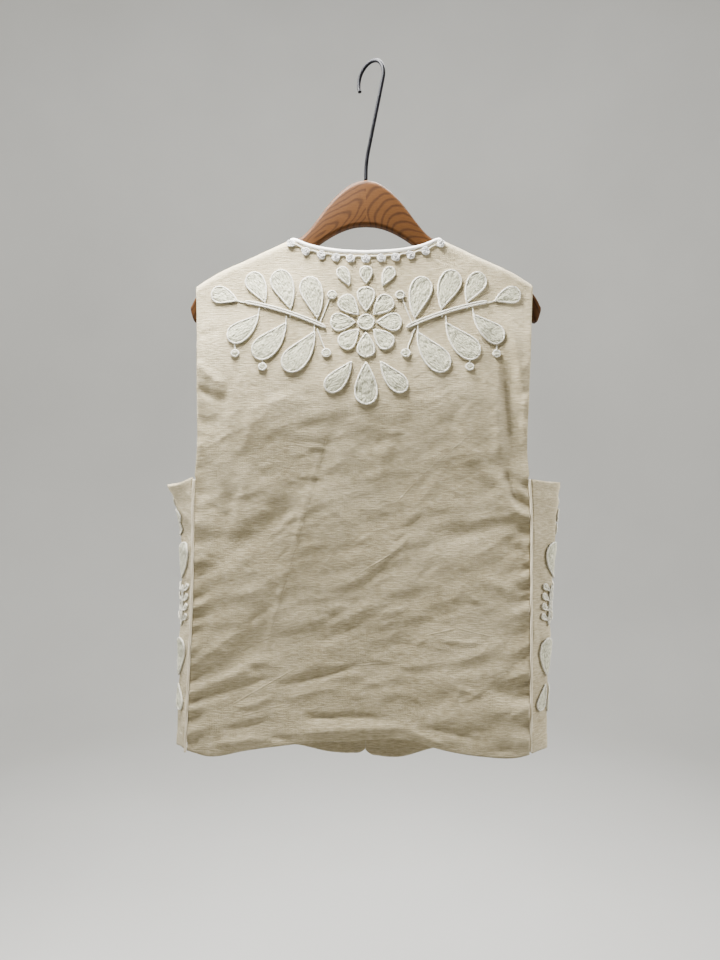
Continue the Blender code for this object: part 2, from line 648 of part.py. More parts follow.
def cloth_wall(name, drape, sign, outline, grid, motifs, finish):
    """A cut piece as a closed wall: a face with the raised forms, a plain inside and a rim."""
    grid = grid[edge_distance(grid, outline) < -EDGE_CLEAR]
    plain = keep_clear(grid, motifs, MOTIF_CLEAR)
    inside_any = np.zeros(len(plain), bool)
    for loop in motifs:
        inside_any |= edge_distance(plain, loop) < 0
    points = [outline, plain]
    lift = [np.zeros(len(outline)), np.where(inside_any, RELIEF, 0.0)]
    rings = []
    count = len(outline) + len(plain)
    for foot in motifs:
        for loop, height in ((foot, 0.0), (raised_loop(foot), RELIEF)):
            rings.append(list(range(count, count + len(loop))))
            points.append(loop)
            lift.append(np.full(len(loop), height))
            count += len(loop)
    points = np.concatenate(points)
    lift = np.concatenate(lift)[:, None]
    outer = drape(points[:, 0], points[:, 1])
    outer = outer + lift * normals(drape, points[:, 0], points[:, 1], sign)
    outer_faces = triangulate(points, len(outline), rings)
    under = np.concatenate([outline, grid])
    inner = drape(under[:, 0], under[:, 1])
    inner = inner - WALL * normals(drape, under[:, 0], under[:, 1], sign)
    inner_faces = triangulate(under, len(outline), [])
    return wall_object(name, outer, outer_faces, inner, inner_faces, len(outline), finish)


def wall_object(name, outer, outer_faces, inner, inner_faces, rim, finish):
    """Join two faces of a wall round their shared rim of points and turn all faces outwards."""
    mesh = bpy.data.meshes.new(name)
    work = bmesh.new()
    front = [work.verts.new(p) for p in outer]
    rear = [work.verts.new(p) for p in inner]
    for verts, faces in ((front, outer_faces), (rear, inner_faces)):
        for face in faces:
            work.faces.new([verts[i] for i in face])
    for i in range(rim):
        j = (i + 1) % rim
        work.faces.new((front[i], front[j], rear[j], rear[i]))
    loose = [v for v in work.verts if not v.link_faces]
    bmesh.ops.delete(work, geom=loose, context="VERTS")
    bmesh.ops.triangulate(work, faces=work.faces)
    bmesh.ops.recalc_face_normals(work, faces=work.faces)
    work.to_mesh(mesh)
    work.free()
    return place(name, mesh, finish)


def swept_object(name, sections, finish):
    """Join a row of like closed sections into one body with flat ends."""
    mesh = bpy.data.meshes.new(name)
    work = bmesh.new()
    rows = [[work.verts.new(p) for p in section] for section in sections]
    for a, b in zip(rows, rows[1:]):
        for i in range(len(a)):
            j = (i + 1) % len(a)
            work.faces.new((a[i], a[j], b[j], b[i]))
    work.faces.new(rows[0])
    work.faces.new(rows[-1])
    bmesh.ops.triangulate(work, faces=work.faces)
    bmesh.ops.recalc_face_normals(work, faces=work.faces)
    work.to_mesh(mesh)
    work.free()
    mesh.shade_smooth()
    mesh.set_sharp_from_angle(angle=math.radians(40))
    return place(name, mesh, finish)


def place(name, mesh, finish):
    item = bpy.data.objects.new(name, mesh)
    item.data.materials.append(material(finish))
    collection.objects.link(item)
    return item


def material(finish):
    """The finish's Principled material, made when it is first asked for."""
    found = bpy.data.materials.get(finish)
    if found:
        return found
    colour, roughness, metallic = FINISHES[finish]
    made = bpy.data.materials.new(finish)
    made.use_nodes = True
    shader = made.node_tree.nodes["Principled BSDF"]
    shader.inputs["Base Color"].default_value = (*colour, 1)
    shader.inputs["Roughness"].default_value = roughness
    shader.inputs["Metallic"].default_value = metallic
    return made


def neck_path():
    """Edge of the neck as points and outward normals: left front, back, right front."""
    pieces = []
    for side in (-1, 1):
        u, h = front_neck(side).T
        drape = make_front(side)
        pieces.append((drape(u, h), normals(drape, u, h, -side)))
    u, h = back_neck().T
    back = (back_drape(u, h), normals(back_drape, u, h, 1))
    left, right = pieces
    return [np.concatenate([left[k], back[k], right[k][::-1]]) for k in (0, 1)]


def make_front(side):
    return lambda u, h: front_drape(side, u, h)


def build_binding():
    """The neck's edge strip: a soft eight-sided bar that takes the cloth's edge in its seam."""
    path, out = neck_path()
    along = np.gradient(path, axis=0)
    along /= np.linalg.norm(along, axis=1, keepdims=True)
    aside = np.cross(along, out)
    aside /= np.linalg.norm(aside, axis=1, keepdims=True)
    out = np.cross(aside, along)
    neck_centre = np.array([STEM_X, STEM_Y, path[:, 2].mean()])
    inward = np.sign(((neck_centre - path) * aside).sum())
    corner = math.pi / BINDING_SIDES
    turn = (np.arange(BINDING_SIDES) * 2 + 1) * corner
    wide = SEAM_GAP + BINDING_WIDTH / 2 * (1 + np.cos(turn) / math.cos(corner))
    high = BINDING_THICK / 2 * np.sin(turn) / math.cos(corner) - WALL / 2
    sections = path[:, None] + aside[:, None] * inward * wide[:, None] + out[:, None] * high[:, None]
    swept_object("neck_binding", sections, "cord")


def build_piping(side):
    """The side seam's cord, from the underarm to the hem, in the gap between back and front."""
    name = "right" if side > 0 else "left"
    z = spread(UNDERARM_HEIGHT + SEAM_GAP, SEAM_FOOT, PIPING_STEP)
    x = side * body("edge_" + name, z) + STEM_X
    y = body("seam_depth", z) + STEM_Y
    curve = bpy.data.curves.new("piping_" + name, "CURVE")
    curve.dimensions = "3D"
    curve.bevel_depth = PIPING_RADIUS
    curve.bevel_resolution = 1
    curve.use_fill_caps = True
    spline = curve.splines.new("POLY")
    spline.points.add(len(z) - 1)
    for point, place_at in zip(spline.points, zip(x, y, z)):
        point.co = (*place_at, 1)
    cord = bpy.data.objects.new("piping_" + name, curve)
    curve.materials.append(material("cord"))
    collection.objects.link(cord)


def build_rosettes():
    """Round rosettes in a row under the binding, each a low turned dome facing the cloth's way."""
    share = np.linspace(-1, 1, ROSETTE_COUNT) * ROSETTE_SPAN
    u = NECK_HALF * share
    lift = seam_top(NECK_HALF) - BACK_NECK_HEIGHT
    h = BACK_NECK_HEIGHT + lift * (1 - np.sqrt(1 - share * share)) - ROSETTE_DROP
    at = back_drape(u, h)
    out = normals(back_drape, u, h, 1)
    turn = np.linspace(0, 2 * math.pi, 11)[:-1]
    wide = column(ROSETTE_PROFILE, ROSETTE_PROFILE_COLUMNS, "wide") * ROSETTE_RADIUS
    high = column(ROSETTE_PROFILE, ROSETTE_PROFILE_COLUMNS, "high") * ROSETTE_THICK
    for k in range(ROSETTE_COUNT):
        side = np.cross(out[k], (0, 0, 1))
        side /= np.linalg.norm(side)
        up = np.cross(side, out[k])
        circle = np.cos(turn)[:, None] * side + np.sin(turn)[:, None] * up
        base = at[k] + out[k] * SEAM_GAP * 2
        sections = base + wide[:, None, None] * circle + high[:, None, None] * out[k]
        swept_object("rosette_%02d" % (k + 1), sections, "cord")


def build_hanger():
    """The hanger: upright sections along its length, round on top and softly cornered below."""
    half = np.stack([column(HANGER_ROWS, HANGER_COLUMNS, name) for name in HANGER_COLUMNS], 1)
    rows = np.concatenate([half[:0:-1] * (-1, 1, 1), half])
    round_top = HANGER_THICK / 2
    up = np.linspace(0, math.pi, 7)
    low_right = np.linspace(-math.pi / 2, 0, 3)
    sections = []
    for across, top, bottom in rows:
        tall = (top - bottom) / 2
        radius = min(round_top, tall)
        low = min(HANGER_LOW_ROUND, tall)
        y = np.concatenate([radius * np.cos(up) * round_top / radius,
                            -round_top + low - low * np.cos(low_right[::-1]),
                            round_top - low + low * np.cos(low_right)])
        z = np.concatenate([top - radius + radius * np.sin(up),
                            bottom + low + low * np.sin(low_right[::-1]),
                            bottom + low + low * np.sin(low_right)])
        x = np.full_like(y, across + STEM_X)
        sections.append(np.stack([x, y + bow(np.array(across)) + STEM_Y, z], 1))
    swept_object("hanger", sections, "cedar")


def build_hook():
    """The hook: up from the hanger's top, aslant to the near side, and over in a round bend."""
    stem = math.hypot(STEM_X, STEM_Y)
    foot = HANGER_ROWS[0][1] + HOOK_SEAT
    aside = column(HOOK_KNEE_ROWS, HOOK_KNEE_COLUMNS, "aside")
    lift = column(HOOK_KNEE_ROWS, HOOK_KNEE_COLUMNS, "lift")
    knee = list(zip(aside - stem, HOOK_KNEE + lift))
    centre = WIRE_RADIUS - HOOK_RADIUS
    turn = np.linspace(HOOK_START_ANGLE, math.pi - HOOK_TIP_ANGLE, HOOK_STEPS)
    bend = [(HOOK_RADIUS * math.cos(a), centre + HOOK_RADIUS * math.sin(a)) for a in turn]
    (x0, z0), (x1, z1) = knee[-1], bend[0]
    slant = [(x0 + (x1 - x0) * t, z0 + (z1 - z0) * t) for t in (0.25, 0.5, 0.75)]
    path = [(-stem, foot)] + knee + slant + bend
    curve = bpy.data.curves.new("hook", "CURVE")
    curve.dimensions = "3D"
    curve.bevel_depth = WIRE_RADIUS
    curve.bevel_resolution = 2
    curve.use_fill_caps = True
    spline = curve.splines.new("POLY")
    spline.points.add(len(path) - 1)
    for point, (along, z) in zip(spline.points, path):
        point.co = (along * math.cos(HOOK_TURN), -along * math.sin(HOOK_TURN), z, 1)
    hook = bpy.data.objects.new("hook", curve)
    curve.materials.append(material("black_wire"))
    collection.objects.link(hook)


for old in list(bpy.data.objects):
    bpy.data.objects.remove(old, do_unlink=True)
collection = bpy.data.collections.new("waistcoat_on_hanger")
bpy.context.scene.collection.children.link(collection)

cloth_wall("back", back_drape, 1, back_outline(), back_grid(), back_motifs(), "linen")
for side, name in ((-1, "front_left"), (1, "front_right")):
    cloth_wall(name, make_front(side), -side, front_outline(side)[::-1], front_grid(side),
               front_motifs(), "linen")
build_binding()
build_piping(-1)
build_piping(1)
build_rosettes()
build_hanger()
build_hook()
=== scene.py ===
import math

import bmesh
import bpy
import numpy as np
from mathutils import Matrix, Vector


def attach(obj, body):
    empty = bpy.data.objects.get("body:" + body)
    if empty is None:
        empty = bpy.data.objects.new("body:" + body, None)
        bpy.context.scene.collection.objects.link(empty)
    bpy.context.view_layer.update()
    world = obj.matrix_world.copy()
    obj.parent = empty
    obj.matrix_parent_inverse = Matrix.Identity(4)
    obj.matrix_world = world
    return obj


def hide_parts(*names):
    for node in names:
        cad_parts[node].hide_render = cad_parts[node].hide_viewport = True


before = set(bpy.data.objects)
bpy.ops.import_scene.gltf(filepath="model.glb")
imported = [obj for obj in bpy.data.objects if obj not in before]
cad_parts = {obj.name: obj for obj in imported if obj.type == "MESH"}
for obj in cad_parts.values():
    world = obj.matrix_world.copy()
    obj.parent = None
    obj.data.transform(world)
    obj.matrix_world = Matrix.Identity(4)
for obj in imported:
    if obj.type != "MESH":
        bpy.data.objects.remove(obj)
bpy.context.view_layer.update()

MM = 0.001

# Camera: level, behind the waistcoat, at the height of its underarms
PHOTO_HEIGHT = 960
FOCAL_PIXELS = 725
CAMERA_PLACE = (-0.0120, -0.7945, -0.4565)

camera_data = bpy.data.cameras.new("camera")
camera_data.sensor_fit = "AUTO"
camera_data.sensor_width = 36
camera_data.lens = FOCAL_PIXELS / PHOTO_HEIGHT * camera_data.sensor_width
camera_data.clip_start = 0.01
camera = bpy.data.objects.new("camera", camera_data)
camera.location = CAMERA_PLACE
camera.rotation_euler = (math.pi / 2, 0, 0)
bpy.context.scene.collection.objects.link(camera)
bpy.context.scene.camera = camera

# Tables are in millimetres, but for these columns: sides, slopes, shares, shapes, angles in
# degrees, marks and counts. u is across on the back and the run from the centre on a front, and
# h is the height under the hook's inner top.
PLAIN_COLUMNS = ("side", "rise", "share", "shape", "angle", "bend", "both", "count", "strength")
SIDES = {"back": 0, "left": -1, "right": 1}

# Sizes of the hanging form, the same as the solids have
SEAM_GAP = 0.3 * MM
SHOULDER_GAP = 0.7 * SEAM_GAP
STEM_X = -5.5 * MM
STEM_Y = 5.5 * MM
ROLL = 10 * MM
ROLL_FADE = 90 * MM
ROLL_SPARE = 0.4
BOW_SLOPE = 0.07
BOW_ROUND = 30 * MM
RIDGE_COLUMNS = ("across", "height")
RIDGE_ROWS = (
    (0, -152.5), (40, -170), (80, -189.3), (125, -209), (166, -227.5), (188, -240.7),
)
BODY_COLUMNS = (
    "height", "edge_left", "edge_right", "outer_left", "outer_right",
    "seam_depth", "outer_depth", "front_depth", "recess",
)
BODY_ROWS = (
    (-780, 198.5, 180, 213.7, 204, -8.5, 18, 47, 17),
    (-705, 195.5, 180.4, 211.5, 204.4, -8.5, 18, 47, 14),
    (-648, 193, 180.6, 209.8, 206.7, -8.5, 18, 47, 10),
    (-592, 190.5, 180.8, 208.2, 209, -8.5, 18, 47, 6),
    (-547, 189.5, 181, 207.7, 211.2, -8.5, 18, 46, 3),
    (-503, 189.3, 180.8, 209.5, 214.6, -8.5, 18, 45, 1),
    (-484, 189.3, 180.2, 214.1, 216.8, -8.5, 18, 44, 0),
    (-460, 188, 178.8, 223.1, 217.9, -8.5, 18, 43, 0),
    (-430, 184.8, 176.4, 223.5, 218.3, -8.5, 18, 40, 0),
    (-380, 184.2, 176.8, 223.5, 218.3, -9, 18, 34, 0),
    (-320, 184.8, 179.6, 223.5, 218.3, -9.5, 19, 24, 0),
    (-240, 188, 185, 223.5, 218.3, -10, 20, 12, 0),
)
RECESS_POWER = 1.3
FOLD_RADIUS = 12 * MM
SEAM_OVERRUN = 1.2
FRONT_SWELL = 4 * MM
FRONT_GAP = 1.5 * MM
FRONT_CLOSE = 0.7 * MM
NECK_HALF = 84.5 * MM
BACK_NECK_HEIGHT = -210.2 * MM
FRONT_NECK_HEIGHT = -302 * MM
UNDERARM_HEIGHT = -456 * MM
UNDERARM_ROUND = 9 * MM
UNDERARM_COLUMNS = ("share", "left", "right")
UNDERARM_ROWS = (
    (0, -456, -456), (0.4, -461.5, -459), (0.62, -462.2, -459), (1, -453.5, -455.5),
)
SEAM_FOOT = -753.5 * MM
BACK_HEM_COLUMNS = ("across", "height")
BACK_HEM_ROWS = (
    (-198, -751), (-174.5, -758), (-132, -753.2), (-75, -747), (-16, -744.5), (30, -742),
    (53, -743.5), (77, -750.5), (130, -758.3), (166, -759.2), (180, -755.8),
)
FRONT_HEM_COLUMNS = ("run", "left", "right")
FRONT_HEM_ROWS = (
    (0, -770, -771.5), (4, -773, -775), (17, -774.7, -778.2), (35, -773.8, -779.3),
    (80, -764, -767.7), (140, -759.5, -760.5), (205, -756.5, -756.5), (235, -753.5, -756),
    (260, -750.5, -755.5),
)
PIPING_RADIUS = 1.5 * MM
PIPING_STEP = 1.5 * MM
SEAM_INSET = PIPING_RADIUS + SEAM_GAP
INSET_RUN = 6 * MM

# Cloth mesh: its step, the shares of closer lines at the edges, and where the search for a
# piece's top and hem starts
CLOTH_STEP = 2.2 * MM
CLOTH_THICK = 1.3 * MM
NORMAL_STEP = 0.4 * MM
WELD_REACH = 0.001 * MM
BACK_ACROSS = 380 * MM
BACK_TALL = 560 * MM
FRONT_TALL = 545 * MM
SIDE_TALL = 300 * MM
BACK_EDGES_CLOSE = 0.25
FRONT_EDGES_CLOSE = 0.2
BACK_TOP_GUESS = -220 * MM
FRONT_TOP_GUESS = -250 * MM
HEM_GUESS = -750 * MM
BACK_ROUNDS = 6
FRONT_ROUNDS = 8

# Creases, listed one by one: a soft trough (depth below 0) or ridge (above 0) along a bowed line
CREASE_COLUMNS = ("from_u", "from_h", "to_u", "to_h", "bow", "width", "depth")
CREASE_ROWS = {
    "back": (
        # Largest folds, which the solids have too
        (128, -262, 176, -452, 0, 20, -3.2), (152, -262, 184, -420, 0, 13, 2),
        (-185, -560, -60, -470, 0, 22, -2.2), (-190, -690, -90, -610, 0, 22, -2.2),
        (178, -500, 80, -520, 0, 16, -2), (-85, -733, 60, -728, 0, 12, 2.2),
        # Long pressed line down the left half of the back
        (-40, -395, -88, -565, 2, 5, 1), (-86, -545, -116, -668, 1, 5, 1.1),
        # Sweeps that rise inwards from the lower left
        (-192, -655, -120, -598, 6, 15, 1.8), (-190, -703, -90, -672, -4, 9, -1.6),
        (-110, -684, 6, -657, 3, 8, -1.7), (-188, -683, -120, -655, 3, 10, 1.4),
        (-150, -706, -96, -692, 2, 7, 1.2), (-164, -730, -100, -717, 2, 6, -1.3),
        (-100, -702, -20, -684, -3, 8, 0.9), (-70, -716, -32, -719, 0, 6, -1.2),
        (-160, -628, -100, -590, 3, 10, -1.1), (-150, -590, -75, -548, 3, 12, 1),
        (-60, -640, 20, -600, 2, 10, -0.9), (-50, -620, 10, -590, 2, 8, 0.8),
        (-20, -585, 40, -530, 3, 9, -0.8), (0, -560, 60, -505, 2, 8, 0.9),
        (30, -520, 85, -440, 3, 9, 0.8),
        # Broad soft fall at the left
        (-148, -455, -166, -540, -4, 18, -2.2), (-172, -470, -182, -505, 0, 12, 1.4),
        (-130, -440, -140, -500, 0, 12, 0.9),
        # Fold that runs into the right armhole, with its lit left flank
        (140, -440, 176, -508, 4, 10, 2.2), (152, -440, 174, -492, 3, 8, -2.4),
        (100, -400, 150, -470, 4, 14, 1), (120, -300, 146, -400, 3, 12, 1.2),
        (142, -300, 145, -455, 0, 13, 1.8), (156, -310, 159, -455, 0, 13, -2.4),
        # Right side, dents that reach in from the seam
        (146, -530, 180, -527, 0, 16, -2.2), (120, -560, 174, -578, 3, 16, 1.6),
        (135, -680, 176, -700, 2, 14, -2), (130, -705, 178, -715, 0, 14, 1.4),
        (52, -640, 74, -629, -2, 5, 1), (74, -629, 134, -633, 3, 5, 1.1),
        (74, -660, 140, -640, 2, 9, 0.9), (30, -668, 100, -660, 3, 10, -1),
        (90, -678, 128, -690, 2, 6, 1), (100, -700, 132, -682, 2, 5, 0.8),
        (10, -690, 70, -700, -3, 10, 0.8), (10, -600, 80, -580, -4, 12, -0.9),
        # Ripples of the hem
        (42, -728, 94, -748, 2, 7, 1.6), (60, -727, 126, -742, -2, 6, -1.5),
        (18, -716, 24, -734, 0, 4, -1), (140, -752, 165, -748, 0, 8, -1.4),
        (-170, -745, -110, -738, 0, 8, 1.2), (-80, -722, 30, -720, -3, 8, -1.6),
        # Yoke, between the applique and the armholes
        (-184, -335, -150, -352, 2, 9, 1.2), (-184, -356, -148, -372, 2, 9, -1.4),
        (-186, -300, -160, -292, 1, 8, -0.8), (-140, -330, -160, -420, 4, 12, -1.2),
        (-120, -360, -135, -430, -3, 12, 1), (-20, -380, -60, -470, 4, 16, -1),
        (40, -380, 10, -470, 4, 14, 0.9), (80, -345, 100, -420, -3, 12, -1),
    ),
    "left": (
        # Largest folds, which the solids have too
        (150, -330, 170, -450, 0, 20, -2.2), (30, -560, 120, -690, 0, 26, -2.6),
        # Fronts: like creases, fewer across the chest
        (35, -340, 120, -310, 4, 12, -1), (60, -380, 150, -400, -4, 14, 1.2),
        (10, -450, 70, -430, 3, 10, -1.2), (20, -520, 80, -480, 3, 10, 1.2),
        (10, -620, 60, -580, 4, 10, 1.3), (60, -640, 140, -610, 3, 12, -1.4),
        (10, -700, 80, -680, 3, 10, -1.4), (20, -735, 100, -722, -3, 8, 1.4),
        (110, -735, 180, -728, 3, 8, -1.2),
        # Side strips behind the fold
        (215, -500, 240, -535, 0, 9, -1.6), (220, -480, 250, -505, 0, 8, 1.2),
        (212, -560, 232, -575, 0, 8, -1.2),
    ),
    "right": (
        # Largest folds, which the solids have too
        (150, -330, 170, -450, 0, 20, -2.2), (40, -500, 130, -640, 0, 26, -2.6),
        # Fronts: like creases, fewer across the chest
        (30, -350, 110, -330, -4, 13, 1.1), (70, -400, 150, -370, 4, 12, -1.2),
        (10, -430, 60, -450, 2, 10, 1.2), (10, -560, 90, -530, 4, 12, 1.3),
        (20, -660, 110, -620, 4, 10, -1.4), (70, -700, 140, -690, 2, 10, 1.2),
        (10, -730, 70, -712, 3, 8, -1.4), (90, -745, 170, -730, 0, 8, 1.3),
        # Side strips behind the fold
        (228, -480, 262, -476, 0, 10, 0.9), (226, -715, 244, -735, 0, 10, -1.2),
    ),
}
CREASE_GAIN = 1.05
CREASE_REACH = 1.3
CREASE_FADE = 3.2

# Broad form of the back
SWELL_HALF = 185 * MM
YOKE_SWELL = 8 * MM
YOKE_HEIGHT = -365 * MM
YOKE_REACH = 66 * MM
HEM_SWELL = 6.5 * MM
HEM_SWELL_TOP = -600 * MM
HEM_SWELL_RUN = 160 * MM
BULGE_COLUMNS = ("u", "h", "reach_u", "reach_h", "out")
BULGE_ROWS = (
    (115, -700, 70, 85, 4.5), (125, -560, 45, 60, 2), (-135, -440, 45, 60, 2.2),
    (-60, -600, 60, 90, -2.2), (20, -500, 70, 60, -1.6),
)

# Puckers: dents that start in a seam or armhole edge and die out towards the middle
PUCKER_COLUMNS = ("side", "height", "rise", "width", "reach", "depth")
PUCKER_ROWS = {
    "back": (
        (-1, -470, -0.2, 5, 16, -1.2), (-1, -501, -0.25, 5, 20, 1.2),
        (-1, -526, 0.1, 4.5, 16, -1.3), (-1, -546, 0.3, 4, 15, 1), (-1, -564, 0.3, 4.5, 18, -1.2),
        (-1, -586, 0.35, 4, 14, -1.5), (-1, -596, 0.35, 3.5, 18, 1.2), (-1, -608, 0.2, 4, 20, -1.8),
        (-1, -624, 0.4, 4, 14, -1.3), (-1, -642, 0.5, 5, 22, 1.2), (-1, -660, 0.45, 4, 18, 1),
        (-1, -678, 0.4, 3.5, 20, -1.8), (-1, -690, 0.35, 3.5, 14, 1),
        (-1, -698, 0.2, 3.5, 22, -1.9), (-1, -708, 0.2, 4, 16, 1.3), (-1, -719, 0.25, 4, 16, -1.5),
        (-1, -733, 0.2, 4.5, 20, 1.2), (-1, -743, 0.1, 3.5, 14, -1), (-1, -390, -0.3, 6, 16, -1),
        (-1, -420, -0.2, 6, 20, 1), (-1, -356, -0.5, 5, 20, -1.6), (-1, -330, -0.6, 5, 18, 1.3),
        (1, -466, 0.6, 4, 14, -1.6), (1, -476, 0.6, 4, 18, 1.2), (1, -486, 0.5, 3.5, 16, -2),
        (1, -497, 0.3, 4.5, 18, 1.8), (1, -514, 0.1, 4.5, 22, -2), (1, -526, 0, 4, 16, 1.2),
        (1, -538, 0.1, 4, 12, -1), (1, -552, -0.2, 3.5, 14, -1.6), (1, -562, -0.2, 5, 22, 1.6),
        (1, -573, -0.2, 3.5, 12, -1.3), (1, -585, -0.3, 4, 14, -1.5), (1, -596, -0.4, 4.5, 22, 1.6),
        (1, -618, -0.5, 5, 24, -1.2), (1, -633, -0.5, 4, 18, 1), (1, -648, -0.4, 4, 16, -1),
        (1, -664, -0.4, 5, 22, 1.4), (1, -677, -0.2, 4, 16, -1.2), (1, -692, 0.2, 4.5, 24, -2.2),
        (1, -706, 0.2, 5.5, 26, 1.6), (1, -724, 0.2, 4.5, 18, -1.2), (1, -740, 0.1, 4.5, 20, 1.2),
        (1, -330, -0.4, 5, 16, 1), (1, -360, -0.3, 6, 18, -1.2), (1, -400, 0.3, 6, 18, 1.2),
    ),
    "left": (
        (1, -480, 0, 4, 12, -0.8), (1, -515, 0.2, 4, 14, -1.2), (1, -532, 0.2, 3.5, 14, 0.8),
        (1, -570, 0.1, 4, 12, -0.8), (1, -630, 0.1, 4, 12, -0.8), (1, -695, 0.2, 4.5, 14, -1),
        (1, -728, 0.1, 4.5, 14, 0.8),
    ),
    "right": (
        (1, -505, -0.2, 4, 12, -0.7), (1, -595, 0, 4, 10, -0.6), (1, -680, 0.1, 4, 12, -0.8),
        (1, -725, 0.3, 5, 14, -1),
    ),
}
PUCKER_GAIN = 1.4
PUCKER_START = 3 * MM
PUCKER_SPREAD = 30 * MM
PUCKER_REACH = 60 * MM

# Small wrinkles between the main ones, which break up the light on the cloth
WRINKLE_SEED = 11
WRINKLE_COUNT = {"back": 190, "left": 130, "right": 130}
WRINKLE_ACROSS = {
    "back": (-185 * MM, 180 * MM), "left": (5 * MM, 240 * MM), "right": (5 * MM, 240 * MM),
}
WRINKLE_HEIGHTS = (-745 * MM, -340 * MM)
WRINKLE_LENGTH = (14 * MM, 52 * MM)
WRINKLE_WIDTH = (3.5 * MM, 8 * MM)
WRINKLE_DEPTH = (0.2 * MM, 0.6 * MM)
WRINKLE_RISE = 0.25
WRINKLE_TILT = 0.45
WRINKLE_BEND = 0.04
CRUMPLE_LEAN = math.radians(16)
CRUMPLE_COLUMNS = ("long_side", "short_side", "depth")
CRUMPLE_ROWS = ((46, 21, 0.8), (23, 11.5, 0.52), (12, 6.5, 0.26))
CRUMPLE_SHIFT = 40
CRUMPLE_TOP = -300 * MM
CRUMPLE_RUN = 120 * MM
CRUMPLE_LEAST = 0.35

# Hem and edge turns
TURN_LIFT = 0.45 * MM
TURN_SOFT = 1.6 * MM
TURN_FADE = 10 * MM
HEM_TURN = 14 * MM
OPENING_TURN = 7 * MM
EDGE_TURN = 6 * MM
FAR = 1.0

# Applique. A motif or stalk marked both is on both sides of the middle.
RELIEF = 2.1 * MM
SINK = 0.6 * MM
EDGE_CORD = 1.0 * MM
EDGE_CORD_LIFT = 0.62 * RELIEF
EDGE_CORD_LAY = 4.5 * MM
OUTLINE_INSET = 0.6 * EDGE_CORD
OUTLINE_LEAST = 0.15 * MM
OUTLINE_POINTS = 90
SPINE_POINTS = 200
CORD_STEP = 0.95 * MM
CORD_SIDES = 8
CORD_PLY = 0.16
FILL_INSET = 0.35 * EDGE_CORD
FILL_STEP = 1.3 * MM
FILL_WIDE = 12 * MM
FILL_ROOM = 2.2 * MM
FILL_ROUND = 0.32
FILL_LUMP = 0.65 * MM
FILL_LUMP_SIZE = 1.5 * MM
LEAF_FULL = 1.64
LEAF_POWER = 0.8
STEM_ROUND = 3
MIRROR = (-1, 1)
MOTIF_COLUMNS = ("shape", "u", "h", "angle", "length", "width", "bend", "both")
FLOWER_COLUMNS = ("u", "h", "gap", "length", "width", "count")
BACK_FLOWER = (0, -285, 12, 26, 19.5, 8)
BACK_MOTIFS = (
    ("berry", 0, -285, 0, 17, 17, 0, 0), ("leaf", 0, -329.5, -90, 45, 25, 0, 0),
    ("leaf", 16, -328.5, -48, 41, 20, 25, 1), ("leaf", 0, -242.5, 90, 18, 14, 0, 0),
    ("leaf", 18.5, -245, 60, 22, 13, -25, 1), ("stem", 44, -290.5, 18, 93, 3.6, -14, 1),
    ("leaf", 53, -280.5, 74, 46, 24, -25, 1), ("leaf", 82, -270.5, 68, 45, 24, -25, 1),
    ("leaf", 110, -263, 60, 37, 21, -25, 1), ("leaf", 56, -296, -50, 52, 26, 30, 1),
    ("leaf", 87, -286, -45, 50, 25, 30, 1), ("leaf", 117, -277, -38, 42, 22, 30, 1),
    ("leaf", 141, -260.5, 18, 30, 19, -20, 1), ("berry", 43, -319, 0, 9, 9, 0, 1),
    ("berry", 37, -255, 0, 9, 9, 0, 1), ("berry", 112, -334, 0, 8, 8, 0, 1),
    ("berry", 142, -319, 0, 8, 8, 0, 1),
)
FRONT_FLOWER = (200, -496, 9, 19.5, 14.5, 8)
FRONT_MOTIFS = (
    ("berry", 200, -496, 0, 12.5, 12.5, 0, 0), ("leaf", 220, -566, 78, 41, 22.5, 24, 0),
    ("leaf", 196, -568, 128, 47, 24, -30, 0), ("stem", 226, -618, 90, 44, 3.6, 0, 0),
    ("leaf", 222.5, -674, 84, 42, 22, 18, 0), ("leaf", 203, -680, 122, 48, 26, -25, 0),
    ("leaf", 212, -686, -90, 30, 16.5, 0, 0), ("leaf", 225, -684, -70, 28, 14.5, 12, 0),
    ("leaf", 198, -685, -118, 28, 15, -20, 0), ("leaf", 158, -496, 180, 47, 24, 0, 0),
    ("leaf", 161, -476, 138, 37, 18, -25, 0), ("leaf", 161, -516, 222, 37, 18, 25, 0),
    ("leaf", 166, -608, 180, 52, 26, 0, 0), ("leaf", 164, -588, 146, 42, 19, -25, 0),
    ("leaf", 164, -628, 214, 42, 19, 25, 0), ("berry", 100, -540, 0, 10, 10, 0, 0),
    ("berry", 96, -608, 0, 10, 10, 0, 0), ("berry", 112, -670, 0, 10, 10, 0, 0),
    ("leaf", 150, -704, 186, 43, 20, -20, 0),
)
SPRIG_PAIRS = 4
SPRIG_BASE = (226, -612)
SPRIG_STEP = 11
SPRIG_GAP = 3.4
SPRIG_LEAN = 55
SPRIG_LEAF = (12, 6.2)

# Stalks: thin couched cords from a stem or leaf to a berry
STALK_COLUMNS = ("from_u", "from_h", "to_u", "to_h", "both")
STALK_RADIUS = 0.75 * MM
STALK_LIFT = 0.6 * STALK_RADIUS
STALK_STEP = 0.9 * MM
STALK_LAY = 3.5 * MM
BACK_STALKS = (
    (53, -292.5, 44.5, -315, 1), (50, -286, 39.5, -259, 1), (112.8, -320, 112, -330.5, 1),
    (143.2, -304, 142, -315.5, 1), (54, -287.5, 53.2, -279, 1), (82.5, -279.5, 82.2, -269, 1),
    (110, -270, 110.1, -261.5, 1), (56, -287, 56.6, -297.5, 1), (86.5, -278, 87.5, -287.5, 1),
    (116, -268, 117.6, -278.5, 1), (133, -262.8, 142.5, -260, 1),
)
FRONT_STALKS = (
    (112, -501, 101, -535.5, 0), (115, -608, 100.5, -608, 0), (124, -639, 113, -665.5, 0),
)

